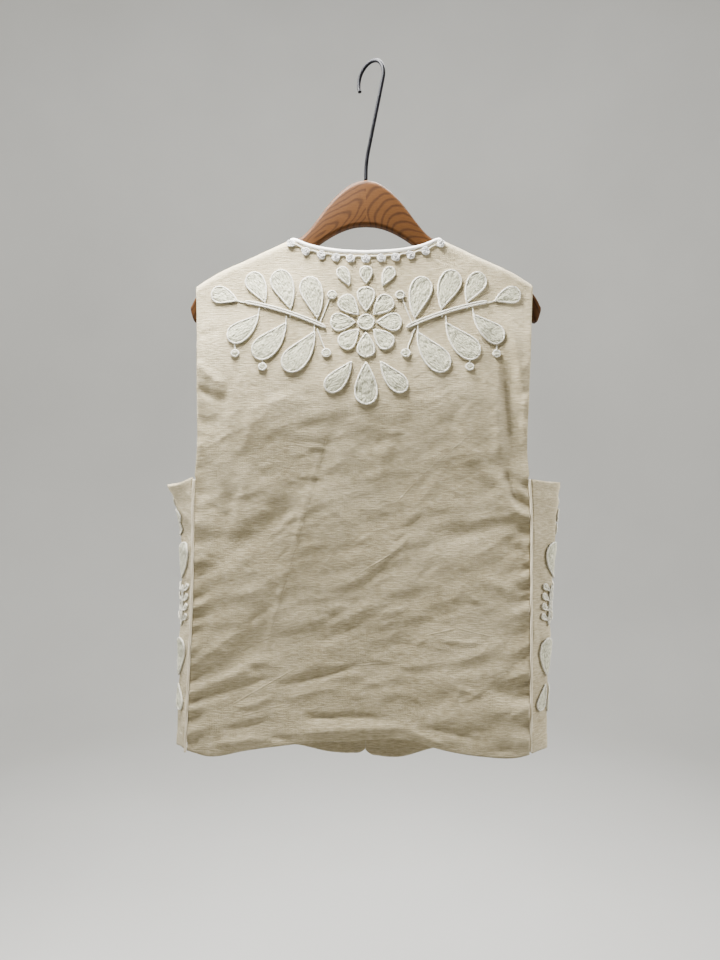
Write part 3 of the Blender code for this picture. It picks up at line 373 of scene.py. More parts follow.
# Trim
PLAIN_PITCH = 30 * MM
GATHER = 0.05
BINDING_WIDTH = 4.4 * MM
BINDING_THICK = 2.9 * MM
BINDING_STEP = 1.2 * MM
BINDING_LAP = 0.3 * MM
BINDING_SINK = 0.4 * MM
SCALLOP_RADIUS = 0.7 * MM
SCALLOP_GAP = 2.5 * MM
SCALLOP_DEPTH = 1.3 * MM
SCALLOP_LIFT = 1.0 * MM
ROSETTE_SEED = 4
ROSETTE_COUNT = 11
ROSETTE_RADIUS = 5.3 * MM
ROSETTE_START = 0.5 * MM
ROSETTE_DROP = 5.4 * MM
ROSETTE_SPAN = 0.965
ROSETTE_CORD = 0.85 * MM
ROSETTE_TURNS = 2.2
CUSHION_RADIUS = 4.3 * MM
CUSHION_MIDDLE = 0.6 * MM
CUSHION_LIFT = 0.8 * MM

# Hanger and hook
HANGER_THICK = 13 * MM
HANGER_COLUMNS = ("across", "top", "bottom")
HANGER_ROWS = (
    (0, -126.2, -176.5), (12, -128.8, -177.4), (27.8, -139, -182.2), (41.8, -153.5, -189.5),
    (54.5, -170, -198), (66.4, -183.8, -206.2), (80, -192.6, -215.5), (102, -202.5, -227.5),
    (125, -212.1, -241), (148, -222.5, -255.2), (164, -230.1, -266), (177, -239, -275),
    (186.2, -248, -280.2), (191.8, -256.5, -278.5), (194.5, -262.5, -270),
)
HANGER_STEP = 1.5 * MM
HANGER_CORNER = 3.2 * MM
HOOK_RADIUS = 19 * MM
WIRE_RADIUS = 2 * MM
HOOK_TURN = math.radians(45)
HOOK_TIP_ANGLE = math.radians(-25)
HOOK_START_ANGLE = math.radians(-14)
HOOK_SEAT = 0.4 * MM
HOOK_KNEE = -106 * MM
HOOK_KNEE_COLUMNS = ("aside", "lift")
HOOK_KNEE_ROWS = ((0, -10), (0.6, -3), (2.2, 6))

# Patterns. A wave texture's band is a twentieth of a full turn long.
WAVE_BAND = 2 * math.pi / 20
THREAD_GAP = 1.1023 * MM
PRESSED_COLUMNS = ("from_u", "from_h", "to_u", "to_h", "strength")
PRESSED_ROWS = (
    (-42.5, -405, -50.5, -445.6, 0.7), (-50, -443, -113.3, -653.8, 0.7),
    (-14.1, -511, -57.7, -564.4, 0.7), (-77.4, -516.5, -14.1, -521.9, 0.4),
    (31.7, -483.8, 56.7, -455.4, 0.6), (56.7, -455.4, 127.6, -394.4, 0.6),
    (-16.3, -564.4, 46.9, -526.3, 0.8), (-191.8, -665.8, -141.7, -646.2, 0.8),
    (-141.7, -646.2, -85, -620, 0.7), (-69.7, -665.8, 28.4, -658.2, 0.9),
    (-153.7, -706.1, -73, -661.4, 0.7), (-146, -717, -82.8, -701.8, 0.5),
    (64.4, -627.6, 100.3, -618.9, 0.8), (100.3, -618.9, 137.4, -627.6, 0.7),
)
PRESSED_HALF = 1.3 * MM
RING_GAP = 4 * MM
# Arches of the wood, one row for each half of the hanger: the rings' middle in metres, the
# grain's lean in degrees, and how many times the rings are drawn out along it
ARCH_ROWS = (((-0.050, 0.004, -0.182), -38, 4.4), ((0.072, 0.004, -0.214), 50, 2.3))

# Studio: sizes in metres and lamps' powers in watts
STUDIO_FLOOR = -1.35
STUDIO_RADIUS = 3.2
STUDIO_COVE = 1.3
STUDIO_TOP = 2.4
STUDIO_SIDES = 96
LAMP_COLUMNS = ("name", "place", "aim", "size", "power")
LAMP_ROWS = (
    ("overhead", (-0.18, -0.10, 0.16), (-0.02, 0.0, -0.45), 0.28, 29),
    ("wall_wash", (0.0, 0.6, 1.6), (0.0, 2.8, 0.4), 2.0, 66),
    ("side_light", (-1.0, -0.02, -0.15), (-0.18, 0.0, -0.6), 0.4, 11),
    ("right_fill", (1.0, -0.04, -0.20), (0.17, 0.0, -0.64), 0.4, 16),
    ("front_light", (0.12, 0.27, 0.42), (0.0, 0.05, -0.45), 0.42, 20),
)
WORLD_COLOUR = "#D8DADC"
WORLD_STRENGTH = 0.10


# Tables
def column(rows, columns, name):
    """One column of a table, in metres where it holds lengths."""
    values = np.array([row[columns.index(name)] for row in rows], float)
    return values if name in PLAIN_COLUMNS else values * MM


def records(rows, columns):
    """A table's rows as dicts by column name, in metres where they hold lengths."""
    return [{name: value if name in PLAIN_COLUMNS else value * MM
             for name, value in zip(columns, row)} for row in rows]


def soft_step(t):
    """A smooth rise from 0 to 1: three times t squared less twice t cubed."""
    t = np.clip(t, 0, 1)
    return t * t * (3 - 2 * t)


def smooth_table(rows, columns, key, name, place):
    """One column of a table at any place of its key column, on a smooth cubic (Hermite) curve."""
    keys = column(rows, columns, key)
    values = column(rows, columns, name)
    slopes = np.gradient(values, keys)
    place = np.clip(place, keys[0], keys[-1])
    i = np.clip(np.searchsorted(keys, place) - 1, 0, len(keys) - 2)
    width = keys[i + 1] - keys[i]
    t = (place - keys[i]) / width
    start = values[i] + (values[i + 1] - values[i]) * soft_step(t)
    return start + width * (slopes[i] * t * (1 - t) ** 2 - slopes[i + 1] * t * t * (1 - t))


# Hanging form
def body(name, z):
    """A measure of the hanging body at a height, from its table of sections."""
    return smooth_table(BODY_ROWS, BODY_COLUMNS, "height", name, z)


def ridge(x):
    """Height of the shoulders' ridge, which is the same on both sides of the middle."""
    return smooth_table(RIDGE_ROWS, RIDGE_COLUMNS, "across", "height", np.abs(x))


def bow(x):
    """The hanger's arms swing forwards, on a hyperbola that is round at the middle."""
    return BOW_SLOPE * (np.sqrt(x * x + BOW_ROUND * BOW_ROUND) - BOW_ROUND)


def over_hanger(x, h, y, out):
    """The top of a piece turns over the hanger on a quarter circle; out is -1 back and +1 front."""
    top = ridge(x)
    hold = soft_step((h - top + ROLL + ROLL_FADE) / ROLL_FADE)
    y = y * (1 - hold) + (out * ROLL + bow(x)) * hold
    angle = np.clip((h - top + ROLL) / ROLL, 0, math.pi / 2 + ROLL_SPARE)
    z = np.where(h > top - ROLL, top - ROLL + ROLL * np.sin(angle), h)
    return np.stack([x + STEM_X, y - out * ROLL * (1 - np.cos(angle)) + STEM_Y, z], axis=-1)


def back_form(u, h):
    """The back's plain form: a sheet at the seams' depth that sinks in towards the hem, by a
    power of one less the square of the share across."""
    left = body("edge_left", h)
    right = body("edge_right", h)
    inset = np.clip(1 - ((u - (right - left) / 2) / ((right + left) / 2)) ** 2, 0, 1)
    y = body("seam_depth", h) + body("recess", h) * inset ** RECESS_POWER
    return over_hanger(u, h, y, -1)


def ring(side, z):
    """A front's ring at a height: a straight run, a round fold and a straight run to the seam,
    where both runs are tangents of the fold."""
    name = "right" if side > 0 else "left"
    start = np.stack([np.full_like(z, FRONT_GAP / 2), body("front_depth", z)])
    seam = np.stack([body("edge_" + name, z), body("seam_depth", z)])
    centre = np.stack([body("outer_" + name, z) - FOLD_RADIUS, body("outer_depth", z)])
    reach_a = np.hypot(*(start - centre))
    reach_b = np.hypot(*(seam - centre))
    bearing = np.arctan2(*(start - centre)[::-1]) % (2 * math.pi)
    angle_a = bearing - np.arccos(FOLD_RADIUS / reach_a)
    angle_b = np.arctan2(*(seam - centre)[::-1]) + np.arccos(FOLD_RADIUS / reach_b)
    run_a = np.sqrt(reach_a ** 2 - FOLD_RADIUS ** 2)
    run_b = np.sqrt(reach_b ** 2 - FOLD_RADIUS ** 2)
    arc = FOLD_RADIUS * (angle_a - angle_b)
    return start, seam, centre, angle_a, angle_b, run_a, arc, run_b


def ring_length(side, z):
    """Length of a front's ring: both straight runs and the fold's arc."""
    parts = ring(side, np.asarray(z, float))
    return parts[5] + parts[6] + parts[7]


def front_form(side, u, h):
    """A front's plain form at run u from the centre and height h; side is +1 right, -1 left. It
    follows the ring, and its straight run stands out by half a sine wave."""
    start, seam, centre, angle_a, angle_b, run_a, arc, run_b = ring(side, h)
    share_a = np.minimum(u / run_a, 1)
    share_b = np.clip((u - run_a - arc) / run_b, 0, SEAM_OVERRUN)
    angle = angle_a - np.clip(u - run_a, 0, arc) / FOLD_RADIUS
    touch = centre + FOLD_RADIUS * np.stack([np.cos(angle), np.sin(angle)])
    x, y = np.where(u < run_a, start + (touch - start) * share_a, touch) + (seam - touch) * share_b
    points = over_hanger(x, h, y + FRONT_SWELL * np.sin(math.pi * share_a), 1)
    points[..., 0] = (points[..., 0] - STEM_X) * side + STEM_X
    return points


def front_run(side, z):
    """Where a front's straight run starts and ends across at a height, and how long it is."""
    start, _, centre, angle_a, _, run_a, _, _ = ring(side, np.asarray(z, float))
    return start[0], centre[0] + FOLD_RADIUS * np.cos(angle_a), run_a


def run_at(side, x, z):
    """Run at which a front reaches a place across, in equal shares on its straight run."""
    start, end, run = front_run(side, z)
    return run * (x - start) / (end - start)


def across_at(side, u, z):
    """Place across that a front reaches at a run, the reverse of run_at."""
    start, end, run = front_run(side, z)
    return start + (end - start) * u / run


def seam_top(x):
    """Height of a shoulder seam on the flat piece: the ridge and what the turn over it takes."""
    return ridge(x) + ROLL * (math.pi / 2 - 1) - SHOULDER_GAP


# Creases
def add_crease(total, u, h, around, row):
    """Adds one crease: a bell across its bowed line that fades in and out along it. Only the
    places inside the crease's own box are worked out."""
    reach = CREASE_REACH * row["width"] + abs(row["bow"])
    low_u = min(row["from_u"], row["to_u"]) - reach
    high_u = max(row["from_u"], row["to_u"]) + reach
    low_h = min(row["from_h"], row["to_h"]) - reach
    high_h = max(row["from_h"], row["to_h"]) + reach
    if low_u > around[1] or high_u < around[0] or low_h > around[3] or high_h < around[2]:
        return
    near = (u > low_u) & (u < high_u) & (h > low_h) & (h < high_h)
    along_u = row["to_u"] - row["from_u"]
    along_h = row["to_h"] - row["from_h"]
    length = math.hypot(along_u, along_h)
    du = u[near] - row["from_u"]
    dh = h[near] - row["from_h"]
    t = (du * along_u + dh * along_h) / (length * length)
    off = (du * along_h - dh * along_u) / length - row["bow"] * 4 * t * (1 - t)
    ends = soft_step(CREASE_FADE * t) * soft_step(CREASE_FADE * (1 - t))
    total[near] += CREASE_GAIN * row["depth"] * ends * np.exp(-((off / (row["width"] / 2)) ** 2))


NOISE_SIZE = 256
NOISE_TABLES = [np.random.default_rng(seed).uniform(-1, 1, (NOISE_SIZE, NOISE_SIZE))
                for seed in range(5)]


def lattice_noise(points, size, seed):
    """Smooth noise between -1 and 1: random values on a square lattice, joined by soft steps."""
    place = points / size
    cell = np.floor(place).astype(int)
    t = soft_step(place - cell)
    i, j = cell[..., 0], cell[..., 1]
    a, b, c, d = (NOISE_TABLES[seed][(i + right) % NOISE_SIZE, (j + up) % NOISE_SIZE]
                  for right, up in ((0, 0), (1, 0), (0, 1), (1, 1)))
    low = a + (b - a) * t[..., 0]
    high = c + (d - c) * t[..., 0]
    return low + (high - low) * t[..., 1]


def crumple(u, h):
    """The cloth's own unevenness: noise in three sizes, drawn out along a line that rises to
    the right, and weaker over the hanger."""
    along = u * math.cos(CRUMPLE_LEAN) + h * math.sin(CRUMPLE_LEAN)
    across = h * math.cos(CRUMPLE_LEAN) - u * math.sin(CRUMPLE_LEAN)
    total = 0
    for seed, row in enumerate(records(CRUMPLE_ROWS, CRUMPLE_COLUMNS)):
        places = np.stack([along / row["long_side"], across / row["short_side"]], -1)
        total = total + row["depth"] * lattice_noise(places + CRUMPLE_SHIFT, 1, seed)
    rest = soft_step((CRUMPLE_TOP - h) / CRUMPLE_RUN)
    return total * (CRUMPLE_LEAST + (1 - CRUMPLE_LEAST) * rest)


def swell(u, h):
    """The back's broad form: it stands out below the shoulders as a wide bell, again in a smooth
    rise towards the hem, and here and there in a low round bell of its own."""
    middle = np.clip(1 - (u / SWELL_HALF) ** 4, 0, 1)
    yoke = YOKE_SWELL * np.exp(-((h - YOKE_HEIGHT) / YOKE_REACH) ** 2)
    hem = HEM_SWELL * soft_step((HEM_SWELL_TOP - h) / HEM_SWELL_RUN)
    total = yoke + hem
    for bulge in records(BULGE_ROWS, BULGE_COLUMNS):
        aside = (u - bulge["u"]) / bulge["reach_u"]
        above = (h - bulge["h"]) / bulge["reach_h"]
        total = total + bulge["out"] * np.exp(-aside ** 2 - above ** 2)
    return total * middle


def random_wrinkles(piece):
    """Short wrinkles at random places, mostly level and rising a little to one side."""
    rng = np.random.default_rng(WRINKLE_SEED + len(piece))
    count = WRINKLE_COUNT[piece]
    u = rng.uniform(*WRINKLE_ACROSS[piece], count)
    h = rng.uniform(*WRINKLE_HEIGHTS, count)
    length = rng.uniform(*WRINKLE_LENGTH, count)
    tilt = rng.normal(WRINKLE_RISE, WRINKLE_TILT, count)
    width = rng.uniform(*WRINKLE_WIDTH, count)
    depth = rng.uniform(*WRINKLE_DEPTH, count) * rng.choice([-1, 1], count)
    bend = rng.normal(0, WRINKLE_BEND, count) * length
    half_u = length / 2 * np.cos(tilt)
    half_h = length / 2 * np.sin(tilt)
    values = np.stack([u - half_u, h - half_h, u + half_u, h + half_h, bend, width, depth], 1)
    return [dict(zip(CREASE_COLUMNS, row)) for row in values]


def relief_of(piece):
    """All creases, wrinkles and puckers of a piece, as one function of its flat place. A pucker
    is a bell across a sloping line that widens and dies out with its distance from the edge."""
    creases = records(CREASE_ROWS[piece], CREASE_COLUMNS) + random_wrinkles(piece)
    puckers = records(PUCKER_ROWS[piece], PUCKER_COLUMNS)

    def height(u, h):
        total = crumple(u, h)
        if piece == "back":
            total += swell(u, h)
            from_edge = {-1: body("edge_left", h) + u, 1: body("edge_right", h) - u}
        else:
            from_edge = {1: ring_length(SIDES[piece], h) - u}
        around = (u.min(), u.max(), h.min(), h.max())
        for row in creases:
            add_crease(total, u, h, around, row)
        low, high = around[2] - PUCKER_REACH, around[3] + PUCKER_REACH
        for side, inwards in from_edge.items():
            inwards = np.clip(inwards, 0, None)
            if inwards.min() >= PUCKER_REACH:
                continue
            start = soft_step(inwards / PUCKER_START)
            for row in puckers:
                if row["side"] == side and low < row["height"] < high:
                    off = h - row["height"] - row["rise"] * inwards
                    wide = row["width"] * (1 + inwards / PUCKER_SPREAD)
                    bell = np.exp(-(off / wide) ** 2 - (inwards / row["reach"]) ** 2)
                    total += PUCKER_GAIN * row["depth"] * bell * start
        return total

    return height


def unit(vectors):
    """Vectors divided by their own lengths."""
    return vectors / np.linalg.norm(vectors, axis=-1, keepdims=True)


def normals(form, u, h, sign):
    """Unit normals of a form, from central differences along its two directions."""
    along_u = form(u + NORMAL_STEP, h) - form(u - NORMAL_STEP, h)
    along_h = form(u, h + NORMAL_STEP) - form(u, h - NORMAL_STEP)
    return unit(np.cross(along_u, along_h) * sign)


class Cloth:
    """A draped piece: its plain form moved out along its normals by its creases and edge turns."""

    def __init__(self, piece):
        self.side = SIDES[piece]
        self.sign = -self.side or 1
        self.relief = relief_of(piece)

    def form(self, u, h):
        """The plain form: a front's ring, or the back's sheet for side 0."""
        return front_form(self.side, u, h) if self.side else back_form(u, h)

    def place(self, u, h):
        """A place on the creased cloth: the plain form and the relief along its normal."""
        u = np.asarray(u, float)
        h = np.asarray(h, float)
        lift = self.relief(u, h)
        return self.form(u, h) + normals(self.form, u, h, self.sign) * lift[..., None]

    def above(self, u, h, lift):
        """A place on the creased cloth, moved out from it by a distance."""
        out = normals(self.place, u, h, self.sign)
        return self.place(u, h) + out * np.asarray(lift)[..., None]


# Mesh making
def grid_part(points, u_at, v_at, wrap_rows=False, wrap_columns=False):
    """A grid of points, its quads and their corners' map. A quad's corners go round it, and a
    wrapped direction is closed on itself while its map runs on past its last line."""
    rows, columns = points.shape[:2]
    i, j = np.indices((rows - 1 + wrap_rows, columns - 1 + wrap_columns))
    corners = ((i, j), (i, j + 1), (i + 1, j + 1), (i + 1, j))
    quads = np.stack([a % rows * columns + b % columns for a, b in corners], -1)
    places = np.stack([np.stack([u_at(a, b), v_at(a, b)], -1) for a, b in corners], -2)
    return points, quads.reshape(-1, 4), places.reshape(-1, 2)


def new_object(name, parts, finish, weld, inside_out=False):
    """One object from a list of grid parts, placed in its mesh. Its parts' points follow one
    another, and welding joins those that lie in one place."""
    points = np.concatenate([part[0].reshape(-1, 3) for part in parts])
    starts = np.cumsum([0] + [part[0].size // 3 for part in parts])
    quads = np.concatenate([part[1] + start for part, start in zip(parts, starts)])
    maps = np.concatenate([part[2] for part in parts])
    if inside_out:
        quads = quads[:, ::-1]
        maps = maps.reshape(-1, 4, 2)[:, ::-1]
    mesh = bpy.data.meshes.new(name)
    mesh.vertices.add(len(points))
    mesh.vertices.foreach_set("co", points.astype(np.float32).ravel())
    mesh.loops.add(quads.size)
    mesh.loops.foreach_set("vertex_index", quads.astype(np.int32).ravel())
    mesh.polygons.add(len(quads))
    mesh.polygons.foreach_set("loop_start", np.arange(0, quads.size, 4, dtype=np.int32))
    layer = mesh.uv_layers.new(name="flat")
    layer.data.foreach_set("uv", maps.astype(np.float32).ravel())
    mesh.update(calc_edges=True)
    if weld:
        work = bmesh.new()
        work.from_mesh(mesh)
        bmesh.ops.remove_doubles(work, verts=work.verts, dist=WELD_REACH)
        bmesh.ops.recalc_face_normals(work, faces=work.faces)
        work.to_mesh(mesh)
        work.free()
    mesh.shade_smooth()
    mesh.materials.append(finish)
    item = bpy.data.objects.new(name, mesh)
    bpy.context.scene.collection.objects.link(item)
    return item


def new_piece(name, parts, finish, weld=True, inside_out=False):
    """A piece of the waistcoat or its hanger: an object on the part's one body."""
    item = new_object(name, parts, FINISH[finish], weld, inside_out)
    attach(item, "root")
    return item


def spread(start, end, step):
    """Even places from start to end, about a step apart."""
    return np.linspace(start, end, max(2, int(round(abs(end - start) / step)) + 1))


def shares(count, close=1.0):
    """Shares from 0 to 1: even ones mixed with ones on a cosine, which lie closer at the ends."""
    even = np.linspace(0, 1, count)
    return close * (1 - np.cos(math.pi * even)) / 2 + (1 - close) * even


def arc_places(path):
    """Distance along a path to each of its points."""
    return np.concatenate([[0], np.cumsum(np.linalg.norm(np.diff(path, axis=0), axis=1))])


def between(want, at, values):
    """Rows of values that are known at some distances, at the wanted ones, on straight lines."""
    return np.stack([np.interp(want, at, line) for line in values.T], 1)


def even_path(path, step, closed=False):
    """A path's points set evenly, a step apart, along its own length."""
    if closed:
        path = np.concatenate([path, path[:1]])
    at = arc_places(path)
    want = np.linspace(0, at[-1], max(4, int(round(at[-1] / step))) + 1)
    return between(want[:-1] if closed else want, at, path)


def across_path(path, out, closed=False):
    """Unit directions across a path: aside is along crossed with out, and out is then turned
    square to both."""
    along = np.roll(path, -1, 0) - np.roll(path, 1, 0) if closed else np.gradient(path, axis=0)
    along = unit(along)
    aside = unit(np.cross(along, out))
    return aside, np.cross(aside, along)


def tube_part(path, out, radius, sides, pitch, closed=False, ply=0.0, flat=1.0):
    """A tube along a path: at each point a circle across it, with its radius waved by a twist of
    two strands, squashed outwards by flat, and drawn to a point at open ends."""
    aside, out = across_path(path, out, closed)
    at = arc_places(path)
    length = at[-1] + (np.linalg.norm(path[-1] - path[0]) if closed else 0)
    twists = max(1, round(length / pitch)) if closed else length / pitch
    turn = np.arange(sides) / sides * 2 * math.pi
    phase = 2 * turn[None] + 2 * math.pi * twists * at[:, None] / length
    size = np.broadcast_to(radius, (len(path),))[:, None] * (1 + ply * np.cos(phase))
    wide = size * np.cos(turn)[None]
    high = size * np.sin(turn)[None] * flat
    points = path[:, None] + aside[:, None] * wide[..., None] + out[:, None] * high[..., None]
    if not closed:
        start, end = (np.repeat(path[k][None, None], sides, 1) for k in (0, -1))
        points = np.concatenate([start, points, end])
        at = np.concatenate([at[:1], at, at[-1:]])
    steps = np.concatenate([at, [length]])
    return grid_part(points, lambda i, j: steps[i] / pitch + 2 * j / sides,
                     lambda i, j: j / sides, wrap_rows=closed, wrap_columns=True)


def laid_cord(cloth, line, step, lift, radius, ply, pitch, closed=False):
    """A twisted cord on the cloth: a tube along a flat line, its points a step apart and lifted
    off the creased cloth, with the cloth's own normals as its outward direction."""
    u, h = even_path(line, step, closed).T
    out = normals(cloth.place, u, h, cloth.sign)
    return tube_part(cloth.above(u, h, lift), out, radius, CORD_SIDES, pitch, closed, ply)


# Applique
def flower_petals(flower):
    """Petals set evenly round a flower's middle, as motif rows."""
    flower = dict(zip(FLOWER_COLUMNS, flower))
    rows = []
    for k in range(flower["count"]):
        angle = 90 + 360 * k / flower["count"]
        u = flower["u"] + flower["gap"] * math.cos(math.radians(angle))
        h = flower["h"] + flower["gap"] * math.sin(math.radians(angle))
        rows.append(("leaf", u, h, angle, flower["length"], flower["width"], 0, 0))
    return rows


def sprig_leaves():
    """Pairs of small leaves up a sprig's stem, as motif rows."""
    return [("leaf", SPRIG_BASE[0] + SPRIG_GAP * lean, SPRIG_BASE[1] + SPRIG_STEP * k,
             90 - SPRIG_LEAN * lean, *SPRIG_LEAF, 0, 0)
            for k in range(SPRIG_PAIRS) for lean in (-1, 1)]


def motif_spine(motif, t):
    """Spine points, headings and half widths of a motif at shares t of its length. A leaf's half
    width grows as a power of t and closes round; a stem is even with round ends, and a berry is
    a circle. The spine is added up from short steps along its even bend."""
    if motif["shape"] == "berry":
        half = motif["width"] * np.sqrt(np.clip(t * (1 - t), 0, None))
        spine = np.stack([motif["u"] + motif["length"] * (t - 0.5), np.full_like(t, motif["h"])], 1)
        return spine, np.zeros_like(t), half
    if motif["shape"] == "stem":
        end = STEM_ROUND * motif["width"] / motif["length"]
        left = np.clip(1 - np.minimum(t, 1 - t) / end * 2, 0, 1)
        half = motif["width"] / 2 * np.sqrt(1 - left ** 2)
    else:
        round_end = np.sqrt(np.clip(1 - t ** 3, 0, None))
        half = motif["width"] / 2 * LEAF_FULL * t ** LEAF_POWER * round_end
    fine = np.linspace(0, 1, SPINE_POINTS)
    heading = math.radians(motif["angle"]) + math.radians(motif["bend"]) * (fine - 0.5)
    middle = (heading[1:] + heading[:-1]) / 2
    step = motif["length"] / (SPINE_POINTS - 1)
    x = motif["u"] + np.concatenate([[0], np.cumsum(step * np.cos(middle))])
    y = motif["h"] + np.concatenate([[0], np.cumsum(step * np.sin(middle))])
    x, y, heading = between(t, fine, np.stack([x, y, heading], 1)).T
    return np.stack([x, y], 1), heading, half


def square_to(heading):
    """Unit direction a quarter turn to the left of a heading."""
    return np.stack([-np.sin(heading), np.cos(heading)], 1)


def motif_outline(motif, inset):
    """Closed outline of a motif: half its width to each side of the spine, less a small inset."""
    spine, heading, half = motif_spine(motif, shares(OUTLINE_POINTS))
    aside = square_to(heading) * np.clip(half - inset, OUTLINE_LEAST, None)[:, None]
    return np.concatenate([(spine - aside)[:-1], (spine + aside)[:0:-1]])


def fill_part(cloth, motif, twin):
    """The padded fill of a motif: along its spine, closed D-shaped cross-sections whose flat side
    lies sunk in the cloth and whose round side, a low power of a sine, rises with small lumps of
    rough yarn."""
    rows = max(8, int(motif["length"] / FILL_STEP))
    sides = 26 if motif["width"] > FILL_WIDE else 16
    t = shares(rows)
    spine, heading, half = motif_spine(motif, t)
    half = np.clip(half - FILL_INSET, 0, None)[:, None]
    turn = np.arange(sides) / sides * 2 * math.pi
    across = half * (np.sign(np.cos(turn)) * np.abs(np.cos(turn)) ** 0.75)[None]
    flat = spine[:, None] + square_to(heading)[:, None] * across[..., None]
    if twin:
        flat = flat * MIRROR
    room = np.clip(half / FILL_ROOM, 0, 1) ** 0.5
    high = np.clip(np.sin(turn), 0, 1)[None] ** FILL_ROUND * room
    along = np.repeat((t * motif["length"])[:, None], sides, 1) + 3.1 * motif["u"]
    aside_run = across + 1.7 * motif["h"] + twin
    strands = np.stack([along / 4, aside_run], -1)
    lumps = lattice_noise(strands, FILL_LUMP_SIZE, 3) + 0.5 * lattice_noise(flat, FILL_LUMP_SIZE, 4)
    rise = (RELIEF + SINK + FILL_LUMP * lumps) * high
    points = cloth.above(flat[..., 0], flat[..., 1], rise - SINK)
    return grid_part(points, lambda i, j: along[i, j % sides],
                     lambda i, j: aside_run[i, j % sides], wrap_columns=True)


def build_applique(cloth, name, rows, stalks):
    """A piece's applique: each motif's fill with a couched cord round its outline, and thin cords
    for stalks. A motif or stalk that is marked both is made again, mirrored across the middle."""
    fills, cords = [], []
    for motif in records(rows, MOTIF_COLUMNS):
        for twin in range(1 + motif["both"]):
            fills.append(fill_part(cloth, motif, twin))
            outline = motif_outline(motif, OUTLINE_INSET) * (MIRROR if twin else 1)
            cords.append(laid_cord(cloth, outline, CORD_STEP, EDGE_CORD_LIFT, EDGE_CORD, CORD_PLY,
                                   EDGE_CORD_LAY, closed=True))
    for stalk in records(stalks, STALK_COLUMNS):
        line = np.array([(stalk["from_u"], stalk["from_h"]), (stalk["to_u"], stalk["to_h"])])
        for twin in range(1 + stalk["both"]):
            cords.append(laid_cord(cloth, line * (MIRROR if twin else 1), STALK_STEP,
                                   STALK_LIFT, STALK_RADIUS, CORD_PLY, STALK_LAY))
    fill = new_piece("applique_fill_" + name, fills, "fill")
    cord = new_piece("applique_cord_" + name, cords, "cord")
    return [fill, cord]


# Cloth pieces
def turned_edge(distance, width):
    """Extra height where the edge is turned under: one soft step up at the turn's width."""
    return TURN_LIFT * soft_step((width + TURN_SOFT - distance) / TURN_SOFT)


def armhole_turn(distance, u, h, lowest):
    """The turn along an armhole, which fades out over the hanger and ends at the underarm."""
    distance = distance + FAR * (h < lowest)
    return turned_edge(distance, EDGE_TURN) * soft_step((ridge(u) - ROLL - h) / TURN_FADE)


def panel_part(cloth, u, h, edge_lift):
    """A stretch of cloth over a grid of flat places, which are also its map."""
    return grid_part(cloth.above(u, h, edge_lift), lambda i, j: u[i, j], lambda i, j: h[i, j])


def finish_sheet(item):
    solid = item.modifiers.new("thickness", "SOLIDIFY")
    solid.thickness = CLOTH_THICK
    solid.offset = -1


def grid_area(u, h):
    """Flat area of a grid, by the cross product of each cell's diagonals."""
    du1 = u[1:, 1:] - u[:-1, :-1]
    dh1 = h[1:, 1:] - h[:-1, :-1]
    du2 = u[1:, :-1] - u[:-1, 1:]
    dh2 = h[1:, :-1] - h[:-1, 1:]
    return float(np.abs(du1 * dh2 - dh1 * du2).sum() / 2)


def neck_height(x, lowest):
    """A neck edge: the lower half of an ellipse between the neck points."""
    inside = np.sqrt(np.clip(1 - (x / NECK_HALF) ** 2, 0, 1))
    return lowest + (seam_top(NECK_HALF) - lowest) * (1 - inside)


def top_edge(x, lowest):
    """Top of a piece on the flat: the neck edge near the middle and the shoulder seam outside."""
    return np.where(np.abs(x) < NECK_HALF, neck_height(x, lowest), seam_top(x))


def back_edges(h):
    """Left and right edge of the back at a height: in from the piping below the underarm."""
    inset = SEAM_INSET * soft_step((UNDERARM_HEIGHT + INSET_RUN - h) / INSET_RUN)
    return inset - body("edge_left", h), body("edge_right", h) - inset


def build_back():
    """The back as one grid: even shares up from the hem to the top, and shares across that lie
    closer at the edges. The hem and top depend on the place across, so both are found in rounds."""
    cloth = CLOTH["back"]
    columns = int(BACK_ACROSS / CLOTH_STEP)
    s = shares(columns, BACK_EDGES_CLOSE)
    top = np.full(columns, BACK_TOP_GUESS)
    hem = np.full(columns, HEM_GUESS)
    for _ in range(BACK_ROUNDS):
        left, right = back_edges(top)
        top = top_edge(left + (right - left) * s, BACK_NECK_HEIGHT)
        left, right = back_edges(hem)
        x = left + (right - left) * s
        hem = smooth_table(BACK_HEM_ROWS, BACK_HEM_COLUMNS, "across", "height", x)
    h = hem + (top - hem) * np.linspace(0, 1, int(BACK_TALL / CLOTH_STEP))[:, None]
    left, right = back_edges(h)
    u = left + (right - left) * s
    arm = armhole_turn(np.minimum(u - left, right - u), u, h, UNDERARM_HEIGHT)
    lift = np.maximum(turned_edge(h - hem, HEM_TURN), arm)
    back = new_piece("back_linen", [panel_part(cloth, u, h, lift)], "linen", weld=False)
    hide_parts("back")
    rows = list(BACK_MOTIFS) + flower_petals(BACK_FLOWER)
    pieces = build_applique(cloth, "back", rows, BACK_STALKS)
    finish_sheet(back)


